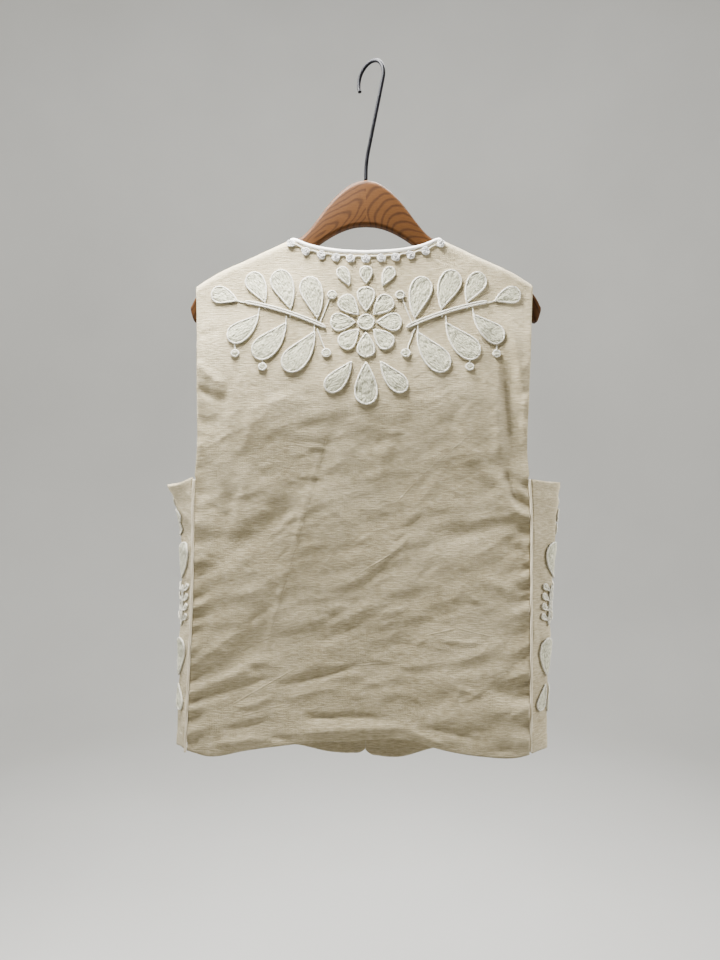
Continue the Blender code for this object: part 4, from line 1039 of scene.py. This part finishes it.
def build_front(name):
    """A front as two grids that share the line below the armhole: the chest, from the opening to
    the armhole, and the side, from there round the fold to the side seam. In both, places go up
    from the hem to the top edge in even shares."""
    cloth = CLOTH[name]
    side = cloth.side
    low = UNDERARM_HEIGHT + UNDERARM_ROUND

    def arm_line(h):
        """Run to the armhole's line, which goes straight down below the armhole."""
        above = np.maximum(h, low)
        return run_at(side, body("edge_" + name, above), above)

    def hem_at(run):
        """Height of the hem at a run."""
        return smooth_table(FRONT_HEM_ROWS, FRONT_HEM_COLUMNS, "run", name, run)

    foot_u = float(arm_line(low))
    columns = int(foot_u / CLOTH_STEP)
    s = shares(columns, FRONT_EDGES_CLOSE)
    top = np.full(columns, FRONT_TOP_GUESS)
    for _ in range(FRONT_ROUNDS):
        top = top_edge(across_at(side, arm_line(top) * s, top), FRONT_NECK_HEIGHT)
    hem = hem_at(foot_u * s)
    h = hem + (top - hem) * np.linspace(0, 1, int(FRONT_TALL / CLOTH_STEP))[:, None]
    u = arm_line(h) * s - FRONT_CLOSE * (1 - s)
    lift = np.maximum(turned_edge(h - hem, HEM_TURN), armhole_turn(arm_line(h) - u, u, h, low))
    lift = np.maximum(lift, turned_edge(u, OPENING_TURN) * soft_step((top - h) / TURN_FADE))
    chest = panel_part(cloth, u, h, lift)
    area = grid_area(u, h)

    ring_end = float(ring_length(side, UNDERARM_HEIGHT))
    last = ring_end - SEAM_INSET
    s = np.linspace(0, 1, int((last - foot_u) / CLOTH_STEP)) ** 1.25
    flat_u = foot_u + (last - foot_u) * s
    bend = np.clip((flat_u - foot_u) / UNDERARM_ROUND, 0, 1)
    corner = low - UNDERARM_ROUND * np.sqrt(np.clip(1 - (1 - bend) ** 2, 0, 1))
    share = np.clip((flat_u - foot_u - UNDERARM_ROUND) / (last - foot_u - UNDERARM_ROUND), 0, 1)
    edge = smooth_table(UNDERARM_ROWS, UNDERARM_COLUMNS, "share", name, share)
    top = np.where(bend < 1, corner, edge)
    hem = hem_at(flat_u)
    h = hem + (top - hem) * np.linspace(0, 1, int(SIDE_TALL / CLOTH_STEP))[:, None]
    seam = ring_length(side, np.minimum(h, UNDERARM_HEIGHT)) - SEAM_INSET
    u = foot_u + (seam - foot_u) * s
    lift = np.maximum(turned_edge(h - hem, HEM_TURN), turned_edge(top - h, EDGE_TURN))
    parts = [chest, panel_part(cloth, u, h, lift)]
    area += grid_area(u, h)
    front = new_piece("front_%s_linen" % name, parts, "linen", weld=False, inside_out=side > 0)
    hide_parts("front_" + name)
    rows = list(FRONT_MOTIFS) + flower_petals(FRONT_FLOWER) + sprig_leaves()
    pieces = build_applique(cloth, name, rows, FRONT_STALKS)
    finish_sheet(front)


# Trim
def neck_line():
    """The neck edge's points and outward normals, from the left front over the back to the right
    front. On a front, the place across goes as a sine and the height as a cosine."""
    turn = np.linspace(0.0, math.pi / 2, 150)
    depth = seam_top(NECK_HALF) - FRONT_NECK_HEIGHT
    h = FRONT_NECK_HEIGHT + depth * (1 - np.cos(turn))
    across = np.maximum(NECK_HALF * np.sin(turn), FRONT_GAP / 2)
    x = NECK_HALF * np.sin(np.linspace(-math.pi / 2, math.pi / 2, 170)[1:-1])
    flat = (
        ("left", run_at(-1, across, h), h),
        ("back", x, neck_height(x, BACK_NECK_HEIGHT)),
        ("right", run_at(1, across, h)[::-1], h[::-1]),
    )
    points = [CLOTH[name].place(u, h) for name, u, h in flat]
    out = [normals(CLOTH[name].place, u, h, CLOTH[name].sign) for name, u, h in flat]
    return np.concatenate(points), np.concatenate(out)


def gathers(at, gap, wave, power):
    """Faint ripples of a sewn cover, as a share of its radius: a fine sine wave, as strong as a
    slow one."""
    return 1 + GATHER * np.sin(at / gap * 2 * math.pi) * np.sin(at / wave) ** power


def build_binding():
    """The neck's rolled edge: an oval section along the neck, with faint ripples where the
    stitches pull it in."""
    path, out = neck_line()
    at = arc_places(path)
    want = spread(0, at[-1], BINDING_STEP)
    path = between(want, at, path)
    aside, out = across_path(path, between(want, at, out))
    neck_centre = np.array([STEM_X, STEM_Y, path[:, 2].mean()])
    inward = np.sign(((neck_centre - path) * aside).sum())
    centre = path + aside * inward * (BINDING_WIDTH / 2 - BINDING_LAP) - out * BINDING_SINK
    radius = BINDING_WIDTH / 2 * gathers(want, 2.9 * MM, 11 * MM, 2)
    part = tube_part(centre, out, radius, 14, PLAIN_PITCH, flat=BINDING_THICK / BINDING_WIDTH)
    item = new_piece("neck_binding_roll", [part], "binding")
    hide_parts("neck_binding")


def rosette_places():
    """Flat places of the rosettes: even shares across the neck, a drop below its edge."""
    u = NECK_HALF * np.linspace(-1, 1, ROSETTE_COUNT) * ROSETTE_SPAN
    return u, neck_height(u, BACK_NECK_HEIGHT) - ROSETTE_DROP


def build_scallops():
    """A thin cord under the binding that dips to each rosette: its distance from the neck edge
    follows a rectified cosine between neighbouring rosettes."""
    places, _ = rosette_places()
    x = np.linspace(places[0], places[-1], 420)
    k = np.interp(x, places, np.arange(ROSETTE_COUNT))
    dip = np.abs(np.cos(math.pi * k)) ** 1.5
    h = neck_height(x, BACK_NECK_HEIGHT) - SCALLOP_GAP - SCALLOP_DEPTH * dip
    part = laid_cord(CLOTH["back"], np.stack([x, h], 1), 0.8 * MM, SCALLOP_LIFT, SCALLOP_RADIUS,
                     0.12, 3 * MM)
    item = new_piece("scallop_cord", [part], "cord")


def build_rosettes():
    """Each rosette is a rough cord wound in a flat spiral, its radius growing as a power of the
    share of its turn, over a flat cushion, half circles turned round, that fills its middle."""
    cloth = CLOTH["back"]
    rng = np.random.default_rng(ROSETTE_SEED)
    grow = np.linspace(0, 1, 90)
    polar = np.linspace(0, math.pi, 9)[:, None]
    round_turn = np.arange(24) / 24 * 2 * math.pi
    for k, (u, h) in enumerate(zip(*rosette_places())):
        u, h = np.array([u]), np.array([h])
        centre = cloth.above(u, h, SEAM_GAP)[0]
        out = normals(cloth.place, u, h, 1)[0]
        aside = unit(np.cross(out, (0, 0, 1)))
        frame_axes = np.stack([aside, np.cross(aside, out), out])
        turn = 2 * math.pi * ROSETTE_TURNS * grow + rng.uniform(0, 2 * math.pi)
        wobble = 1 + 0.06 * np.sin(3 * turn + rng.uniform(0, 6)) + 0.04 * np.sin(5 * turn)
        widest = ROSETTE_RADIUS - ROSETTE_CORD - ROSETTE_START
        reach = (ROSETTE_START + widest * grow ** 0.8) * wobble
        lift = ROSETTE_CORD * (1.0 + 0.7 * (1 - grow) + 0.35 * np.sin(3.3 * turn))
        spiral = np.stack([reach * np.cos(turn), reach * np.sin(turn), lift], -1)
        wide = CUSHION_RADIUS * np.sin(polar)
        cushion = np.stack([wide * np.cos(round_turn), wide * np.sin(round_turn),
                            CUSHION_MIDDLE + CUSHION_LIFT * np.cos(polar) + 0 * round_turn], -1)
        path = centre + spiral @ frame_axes
        parts = [
            tube_part(path, np.repeat(out[None], len(path), 0), ROSETTE_CORD, 9, 2.6 * MM, ply=0.2),
            grid_part(centre + cushion @ frame_axes, lambda i, j: i / 3, lambda i, j: j / 24,
                      wrap_columns=True),
        ]
        name = "rosette_%02d" % (k + 1)
        item = new_piece(name + "_cord", parts, "rough_cord")
        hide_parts(name)


def build_piping(side):
    """The side seam's covered cord: a tube down the seam, faintly gathered."""
    name = "right" if side > 0 else "left"
    z = spread(UNDERARM_HEIGHT + SEAM_GAP, SEAM_FOOT, PIPING_STEP)
    x = side * body("edge_" + name, z) + STEM_X
    path = np.stack([x, body("seam_depth", z) + STEM_Y, z], 1)
    out = np.repeat(np.array([[0.0, -1.0, 0.0]]), len(z), 0)
    radius = PIPING_RADIUS * gathers(arc_places(path), 5.3 * MM, 17 * MM, 1)
    part = tube_part(path, out, radius, 12, PLAIN_PITCH)
    item = new_piece("piping_%s_cord" % name, [part], "piping")
    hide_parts("piping_" + name)


# Hanger and hook
def build_hanger():
    """The hanger: upright sections along its length, with a full round along the top and small
    rounds below, each section's points spread round one closed outline. The sections lie closer
    towards the ends, by a power and a sine."""
    half_x = column(HANGER_ROWS, HANGER_COLUMNS, "across")[-1]
    s = np.linspace(-1, 1, int(2 * half_x / HANGER_STEP))
    x = half_x * np.sign(s) * np.abs(s) ** 0.92
    x = half_x * np.sin(np.clip(x / half_x, -1, 1) * math.pi / 2) * 0.35 + x * 0.65
    top, bottom = (smooth_table(HANGER_ROWS, HANGER_COLUMNS, "across", name, np.abs(x))[:, None]
                   for name in ("top", "bottom"))
    half = HANGER_THICK / 2
    corner = np.minimum(HANGER_CORNER, (top - bottom) / 2)
    round_top = np.minimum(half, (top - bottom) / 2)
    up = np.linspace(0, math.pi, 19)
    low = np.linspace(0, math.pi / 2, 6)
    y = np.concatenate([
        np.broadcast_to(half * np.cos(up), (len(x), len(up))),
        -half + corner * (1 - np.cos(low)),
        half - corner * (1 - np.sin(low)),
    ], 1)
    z = np.concatenate([
        top - round_top + round_top * np.sin(up),
        bottom + corner * (1 - np.sin(low)),
        bottom + corner * (1 - np.cos(low)),
    ], 1)
    points = np.stack([x[:, None] + STEM_X + 0 * y, y + bow(x)[:, None] + STEM_Y, z], -1)
    ends = [np.repeat(points[k].mean(0)[None, None], points.shape[1], 1) for k in (0, -1)]
    points = np.concatenate([ends[0], points, ends[1]])
    rows, columns = points.shape[:2]
    part = grid_part(points, lambda i, j: i / rows, lambda i, j: j / columns, wrap_columns=True)
    item = new_piece("hanger_wood", [part], "wood")
    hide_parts("hanger")


def build_hook():
    """The hook's wire: up the stem, aslant, and over in a round bend, on one path that is
    smoothed by taking each point towards the mean of its neighbours."""
    stem = math.hypot(STEM_X, STEM_Y)
    foot = column(HANGER_ROWS, HANGER_COLUMNS, "top")[0] + HOOK_SEAT
    aside = column(HOOK_KNEE_ROWS, HOOK_KNEE_COLUMNS, "aside")
    lift = column(HOOK_KNEE_ROWS, HOOK_KNEE_COLUMNS, "lift")
    knee = np.stack([aside - stem, HOOK_KNEE + lift], 1)
    turn = np.linspace(HOOK_START_ANGLE, math.pi - HOOK_TIP_ANGLE, 60)
    centre = WIRE_RADIUS - HOOK_RADIUS
    bend = np.stack([HOOK_RADIUS * np.cos(turn), centre + HOOK_RADIUS * np.sin(turn)], 1)
    path = even_path(np.concatenate([[(-stem, foot)], knee, bend]), 1 * MM)
    for _ in range(12):
        path[1:-1] = (path[:-2] + 2 * path[1:-1] + path[2:]) / 4
    points = np.stack([path[:, 0] * math.cos(HOOK_TURN), -path[:, 0] * math.sin(HOOK_TURN),
                       path[:, 1]], 1)
    out = np.repeat(np.array([[math.sin(HOOK_TURN), math.cos(HOOK_TURN), 0.0]]), len(points), 0)
    item = new_piece("hook_wire", [tube_part(points, out, WIRE_RADIUS, 16, PLAIN_PITCH)], "wire")
    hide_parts("hook")


# Materials
def linear(hex_colour):
    """An sRGB hex colour as linear red, green, blue and alpha."""
    values = [int(hex_colour[i:i + 2], 16) / 255 for i in (1, 3, 5)]
    return [v / 12.92 if v <= 0.04045 else ((v + 0.055) / 1.055) ** 2.4 for v in values] + [1.0]


def cells(*sizes):
    """Scales that draw a pattern's cells in these sizes in millimetres: one over each size."""
    return tuple(1 / (size * MM) for size in sizes)


def add_node(tree, kind, settings=(), links=()):
    """A shader node with its settings and incoming links. A setting is an attribute, an input,
    or a colour ramp's stops as (place, hex colour), and a link is (source node, output)."""
    node = tree.nodes.new("ShaderNode" + kind)
    for key, value in dict(settings).items():
        if key == "stops":
            elements = node.color_ramp.elements
            while len(elements) < len(value):
                elements.new(0.5)
            for element, (place, colour) in zip(elements, value):
                element.position = place
                element.color = linear(colour)
        elif isinstance(key, str) and hasattr(node, key) and key not in node.inputs:
            setattr(node, key, value)
        else:
            node.inputs[key].default_value = value
    for key, (source, output) in dict(links).items():
        tree.links.new(source.outputs[output], node.inputs[key])
    return node


def new_material(name, inputs):
    """A material whose shader has these inputs, and its node tree."""
    made = bpy.data.materials.new(name)
    made.use_nodes = True
    for key, value in inputs.items():
        made.node_tree.nodes["Principled BSDF"].inputs[key].default_value = value
    return made, made.node_tree


def finish_material(made, colour, *bumps):
    """Joins a colour, (node, output), to the shader, and heights as bumps laid one on another,
    each (node, output, strength, distance in metres)."""
    tree = made.node_tree
    shader = tree.nodes["Principled BSDF"]
    tree.links.new(colour[0].outputs[colour[1]], shader.inputs["Base Color"])
    links = {}
    for node, output, strength, distance in bumps:
        links["Height"] = (node, output)
        bump = add_node(tree, "Bump", {"Strength": strength, "Distance": distance}, links)
        links["Normal"] = (bump, "Normal")
    if bumps:
        tree.links.new(bump.outputs["Normal"], shader.inputs["Normal"])
    return made


def pressed_lines(tree, uv):
    """Thin pressed lines as a bump's height: along each, a smooth ridge that is as high as one
    minus the distance from the line over its half width, and fades at both ends."""
    total = add_node(tree, "Value")
    for row in records(PRESSED_ROWS, PRESSED_COLUMNS):
        along_u = row["to_u"] - row["from_u"]
        along_h = row["to_h"] - row["from_h"]
        length = math.hypot(along_u, along_h)
        local = add_node(tree, "Mapping", {
            "vector_type": "TEXTURE", "Location": (row["from_u"], row["from_h"], 0),
            "Rotation": (0, 0, math.atan2(along_h, along_u))}, {"Vector": (uv, "UV")})
        split = add_node(tree, "SeparateXYZ", links={"Vector": (local, "Vector")})
        off = add_node(tree, "Math", {"operation": "ABSOLUTE"}, {0: (split, "Y")})
        high = add_node(tree, "MapRange", {
            "interpolation_type": "SMOOTHSTEP", 1: PRESSED_HALF, 2: 0.0, 4: row["strength"]},
            {0: (off, "Value")})
        starts = add_node(tree, "MapRange", {1: 0.0, 2: 0.2 * length}, {0: (split, "X")})
        ends = add_node(tree, "MapRange", {1: length, 2: 0.8 * length}, {0: (split, "X")})
        faded = add_node(tree, "Math", {"operation": "MULTIPLY"},
                         {0: (high, "Result"), 1: (starts, "Result")})
        total = add_node(tree, "Math", {"operation": "MULTIPLY_ADD"},
                         {0: (faded, "Value"), 1: (ends, "Result"), 2: (total, "Value")})
    return total


def linen_material():
    """Natural flax linen, plain woven and matt. The eye gets level streaks from the weft's slubs,
    a soft weave, low sharp crumples that lean to the right, and thin pressed lines."""
    made, tree = new_material("natural_linen", {
        "Roughness": 0.88, "IOR": 1.5, "Sheen Weight": 0.18, "Sheen Roughness": 0.5})
    uv = add_node(tree, "UVMap", {"uv_map": "flat"})
    on_map = {"Vector": (uv, "UV")}
    # Slubs are 8.3 mm long and 1.6 mm thick in the weft, and 20 mm long in the warp
    weft = add_node(tree, "Mapping", {"Scale": cells(8.3333, 1.5625, 1000)}, on_map)
    warp = add_node(tree, "Mapping", {"Scale": cells(1.42857, 20, 1000)}, on_map)
    slub = add_node(tree, "TexNoise", {"Scale": 1.0, "Detail": 3.0, "Roughness": 0.6},
                    {"Vector": (weft, "Vector")})
    thread = add_node(tree, "TexNoise", {"Scale": 1.0, "Detail": 2.0, "Roughness": 0.5},
                      {"Vector": (warp, "Vector")})
    # Clouds of tone as large as a palm
    cloud = add_node(tree, "TexNoise", {"Scale": cells(71.43)[0], "Detail": 3.0}, on_map)
    streak = add_node(tree, "ValToRGB", {
        "stops": ((0.30, "#7F7250"), (0.50, "#B2A481"), (0.72, "#DDD1B2"))}, {"Fac": (slub, "Fac")})
    tone = add_node(tree, "ValToRGB", {"stops": ((0.35, "#A29471"), (0.65, "#C2B492"))},
                    {"Fac": (cloud, "Fac")})
    mixed = add_node(tree, "Mix", {"data_type": "RGBA", 0: 0.45},
                     {6: (streak, "Color"), 7: (tone, "Color")})
    # Real threads lie 0.6 mm apart, finer than a pixel, so they are drawn 1.1 mm apart
    bands = {"wave_type": "BANDS", "Scale": WAVE_BAND / THREAD_GAP, "Distortion": 0.6, "Detail": 1.0}
    across = add_node(tree, "TexWave", {"bands_direction": "X", **bands}, on_map)
    along = add_node(tree, "TexWave", {"bands_direction": "Y", **bands}, on_map)
    weave = add_node(tree, "Math", {"operation": "MULTIPLY"}, {0: (across, "Fac"), 1: (along, "Fac")})
    slubs = add_node(tree, "Math", {"operation": "MULTIPLY_ADD", 1: 2.6},
                     {0: (slub, "Fac"), 2: (weave, "Value")})
    threads = add_node(tree, "Math", {"operation": "MULTIPLY_ADD", 1: 0.6},
                       {0: (thread, "Fac"), 2: (slubs, "Value")})
    # Sharp crumples 37 mm wide and 2.4 times as long, in patches of 91 mm
    leaning = add_node(tree, "Mapping", {
        "vector_type": "TEXTURE", "Rotation": (0, 0, math.radians(28)), "Scale": (2.4, 1.0, 1.0)},
        on_map)
    ridges = add_node(tree, "TexNoise", {
        "noise_type": "RIDGED_MULTIFRACTAL", "Scale": cells(37.037)[0], "Detail": 2.0,
        "Distortion": 0.6}, {"Vector": (leaning, "Vector")})
    patches = add_node(tree, "TexNoise", {"Scale": cells(90.909)[0], "Detail": 1.0}, on_map)
    shown = add_node(tree, "MapRange", {1: 0.42, 2: 0.62}, {0: (patches, "Fac")})
    sharp = add_node(tree, "Math", {"operation": "MULTIPLY"}, {0: (ridges, "Fac"), 1: (shown, "Result")})
    return finish_material(
        made, (mixed, 2), (sharp, "Value", 1.0, 2 * MM),
        (pressed_lines(tree, uv), "Value", 1.0, 0.7 * MM), (threads, "Value", 0.6, 0.8 * MM))


def fill_material():
    """Rough boucle cotton packed inside the couched edge. The eye gets a matt off-white crumb
    with grey-green shadows between its loops, painted as shade: the colour goes dark where the
    crumb sinks."""
    made, tree = new_material("boucle_cotton", {
        "Roughness": 0.95, "IOR": 1.5, "Sheen Weight": 0.25, "Sheen Roughness": 0.6})
    uv = add_node(tree, "UVMap", {"uv_map": "flat"})
    # Loops of yarn 3.3 mm long and 1.6 mm thick, laid along the motif
    strands = add_node(tree, "Mapping", {"Scale": cells(3.3333, 1.5625, 1000)}, {"Vector": (uv, "UV")})
    on_strands = {"Vector": (strands, "Vector")}
    crumb = add_node(tree, "TexNoise", {"Scale": 1.0, "Detail": 3.0, "Roughness": 0.65}, on_strands)
    loops = add_node(tree, "TexVoronoi", {"Scale": 1.0, "Randomness": 1.0}, on_strands)
    # Painted shade: the colour runs dark grey-green where the crumb is low, the same places that the
    # bump sinks into pits
    colour = add_node(tree, "ValToRGB", {
        "stops": ((0.32, "#5A5D45"), (0.43, "#A6A487"), (0.62, "#D4D0B6"))}, {"Fac": (crumb, "Fac")})
    height = add_node(tree, "Math", {"operation": "MULTIPLY_ADD", 1: -0.7},
                      {0: (loops, "Distance"), 2: (crumb, "Fac")})
    return finish_material(made, (colour, "Color"), (height, "Value", 0.8, 1.1 * MM))


def cord_material(name, light, dark, depth, twist):
    """Soft-spun white cotton, as a twisted cord or a covered one. The eye gets slanting furrows
    between its strands, which follow the twist that the mesh has as its map, and a fine fuzz. The
    dark colour is painted shade in the furrows and low tufts; the light one is the strands' crowns."""
    made, tree = new_material(name, {"Roughness": 0.85, "IOR": 1.5, "Sheen Weight": 0.2})
    uv = add_node(tree, "UVMap", {"uv_map": "flat"})
    lay = add_node(tree, "TexWave", {
        "wave_type": "BANDS", "bands_direction": "X", "Scale": WAVE_BAND * twist,
        "Distortion": 1.0, "Detail": 2.0}, {"Vector": (uv, "UV")})
    place = add_node(tree, "TexCoord")
    # Real fuzz is a tenth of a millimetre, so it is drawn in tufts of 1.1 mm
    fuzz = add_node(tree, "TexNoise", {"Scale": cells(1.1111)[0], "Detail": 2.0},
                    {"Vector": (place, "Object")})
    both = add_node(tree, "Math", {"operation": "MULTIPLY_ADD", 1: 0.8},
                    {0: (fuzz, "Fac"), 2: (lay, "Fac")})
    # Painted shade: the colour follows the bump's height, dark in the low furrows and tufts and light on
    # the crowns of the strands
    colour = add_node(tree, "ValToRGB", {"stops": ((0.25, dark), (0.9, light))},
                      {"Fac": (both, "Value")})
    return finish_material(made, (colour, "Color"), (both, "Value", 0.7, depth))


def wood_material():
    """Clear-lacquered knot-free softwood, flat-sawn. The eye gets arches of dark late wood, each
    half its own, that meet at a glued joint down the middle, under a faint gloss."""
    made, tree = new_material("lacquered_cedar", {
        "Roughness": 0.55, "IOR": 1.5, "Specular IOR Level": 0.1})
    place = add_node(tree, "TexCoord")
    # The rings waver over 38 mm, and lie 4 mm apart
    warp = add_node(tree, "TexNoise", {"Scale": cells(38.4615)[0], "Detail": 2.0},
                    {"Vector": (place, "Object")})
    shift = add_node(tree, "VectorMath", {"operation": "SCALE", "Scale": 11 * MM},
                     {0: (warp, "Color")})
    bent = add_node(tree, "VectorMath", {"operation": "ADD"},
                    {0: (place, "Object"), 1: (shift, "Vector")})
    halves = []
    for middle, lean, drawn_out in ARCH_ROWS:
        local = add_node(tree, "Mapping", {
            "vector_type": "TEXTURE", "Location": middle, "Rotation": (0, math.radians(lean), 0),
            "Scale": (drawn_out, 6.0, 1.0)}, {"Vector": (bent, "Vector")})
        halves.append(add_node(tree, "VectorMath", {"operation": "LENGTH"}, {0: (local, "Vector")}))
    split = add_node(tree, "SeparateXYZ", links={"Vector": (place, "Object")})
    right = add_node(tree, "Math", {"operation": "GREATER_THAN", 1: STEM_X}, {0: (split, "X")})
    rings = add_node(tree, "Mix", {"data_type": "FLOAT"},
                     {0: (right, "Value"), 2: (halves[0], "Value"), 3: (halves[1], "Value")})
    spaced = add_node(tree, "Math", {"operation": "MULTIPLY", 1: 2 * math.pi / RING_GAP},
                      {0: (rings, 0)})
    wave = add_node(tree, "Math", {"operation": "SINE"}, {0: (spaced, "Value")})
    grain = add_node(tree, "ValToRGB", {
        "stops": ((0.0, "#4A2D12"), (0.40, "#44280F"), (0.78, "#331E0A"), (1.0, "#2C1808"))},
        {"Fac": (wave, "Value")})
    # Fibres are finer than a pixel, so they are drawn 1.1 mm thick and 5.6 mm long
    fibre_map = add_node(tree, "Mapping", {"Scale": cells(5.5556, 1.1111, 1.1111)},
                         {"Vector": (place, "Object")})
    fibre = add_node(tree, "TexNoise", {"Scale": 1.0, "Detail": 3.0},
                     {"Vector": (fibre_map, "Vector")})
    fine = add_node(tree, "ValToRGB", {"stops": ((0.3, "#38230E"), (0.7, "#4F3317"))},
                    {"Fac": (fibre, "Fac")})
    mixed = add_node(tree, "Mix", {"data_type": "RGBA", 0: 0.3},
                     {6: (grain, "Color"), 7: (fine, "Color")})
    return finish_material(made, (mixed, 2), (fibre, "Fac", 0.25, 0.2 * MM))


def wire_material():
    """Steel wire dipped in black gloss enamel. The eye gets a dark even skin with slight runs,
    6 mm long."""
    made, tree = new_material("black_enamel", {
        "Roughness": 0.45, "IOR": 1.5, "Specular IOR Level": 0.07})
    place = add_node(tree, "TexCoord")
    runs = add_node(tree, "TexNoise", {"Scale": cells(6.25)[0], "Detail": 2.0},
                    {"Vector": (place, "Object")})
    colour = add_node(tree, "ValToRGB", {"stops": ((0.35, "#08080A"), (0.7, "#111115"))},
                      {"Fac": (runs, "Fac")})
    return finish_material(made, (colour, "Color"), (runs, "Fac", 0.2, 0.2 * MM))


def plaster_material():
    """Painted plaster of the studio. The eye gets a pale matt ground, faintly clouded over
    625 mm."""
    made, tree = new_material("pale_plaster", {"Roughness": 0.95, "IOR": 1.5})
    place = add_node(tree, "TexCoord")
    cloud = add_node(tree, "TexNoise", {"Scale": cells(625)[0], "Detail": 4.0},
                     {"Vector": (place, "Object")})
    colour = add_node(tree, "ValToRGB", {"stops": ((0.3, "#C9C8C3"), (0.7, "#D0CFCA"))},
                      {"Fac": (cloud, "Fac")})
    return finish_material(made, (colour, "Color"))


# Studio
def build_studio():
    """Floor and backdrop in one turned sheet: a disc, a quarter-round cove and an upright ring."""
    inner = STUDIO_RADIUS - STUDIO_COVE
    flat = np.linspace(0, inner, 6)
    bend = np.linspace(0, math.pi / 2, 17)[1:]
    upright = np.linspace(STUDIO_FLOOR + STUDIO_COVE, STUDIO_TOP, 5)[1:]
    radius = np.concatenate([flat, inner + STUDIO_COVE * np.sin(bend),
                             np.full(len(upright), STUDIO_RADIUS)])[:, None]
    height = np.concatenate([np.full(len(flat), STUDIO_FLOOR),
                             STUDIO_FLOOR + STUDIO_COVE * (1 - np.cos(bend)), upright])[:, None]
    turn = np.arange(STUDIO_SIDES) / STUDIO_SIDES * 2 * math.pi
    points = np.stack([radius * np.cos(turn), radius * np.sin(turn), height + 0 * turn], -1)
    part = grid_part(points, lambda i, j: i / 10, lambda i, j: j / STUDIO_SIDES, wrap_columns=True)
    studio = new_object("studio", [part], plaster_material(), weld=False)


def build_lights():
    """Round soft lamps, each turned from its place to its aim, and a faint even light from all
    round."""
    for row in LAMP_ROWS:
        lamp = dict(zip(LAMP_COLUMNS, row))
        data = bpy.data.lights.new(lamp["name"], "AREA")
        data.shape = "DISK"
        data.size = lamp["size"]
        data.energy = lamp["power"]
        light = bpy.data.objects.new(lamp["name"], data)
        light.location = lamp["place"]
        aim = Vector(lamp["aim"]) - Vector(lamp["place"])
        light.rotation_euler = aim.to_track_quat("-Z", "Y").to_euler()
        bpy.context.scene.collection.objects.link(light)
    world = bpy.data.worlds.new("studio_air")
    world.use_nodes = True
    air = world.node_tree.nodes["Background"]
    air.inputs["Color"].default_value = linear(WORLD_COLOUR)
    air.inputs["Strength"].default_value = WORLD_STRENGTH
    bpy.context.scene.world = world


# Making
FINISH = {
    "linen": linen_material(),
    "fill": fill_material(),
    # Each cord's second colour is its painted shade, laid in the furrows between its strands
    "cord": cord_material("cotton_cord", "#F4F0E0", "#B3AF98", 0.7 * MM, 2),
    "rough_cord": cord_material("rough_cotton_cord", "#FFFDF8", "#9A9786", 1.0 * MM, 3),
    "binding": cord_material("rolled_cotton", "#F4F0E7", "#E2DCCF", 0.2 * MM, 1),
    "piping": cord_material("covered_piping", "#D9CDB2", "#BFB191", 0.2 * MM, 1),
    "wood": wood_material(),
    "wire": wire_material(),
}
CLOTH = {piece: Cloth(piece) for piece in SIDES}

build_hanger()
build_hook()
build_back()
build_front("left")
build_front("right")
build_binding()
build_scallops()
build_rosettes()
build_piping(-1)
build_piping(1)
build_studio()
build_lights()

bpy.context.view_layer.update()
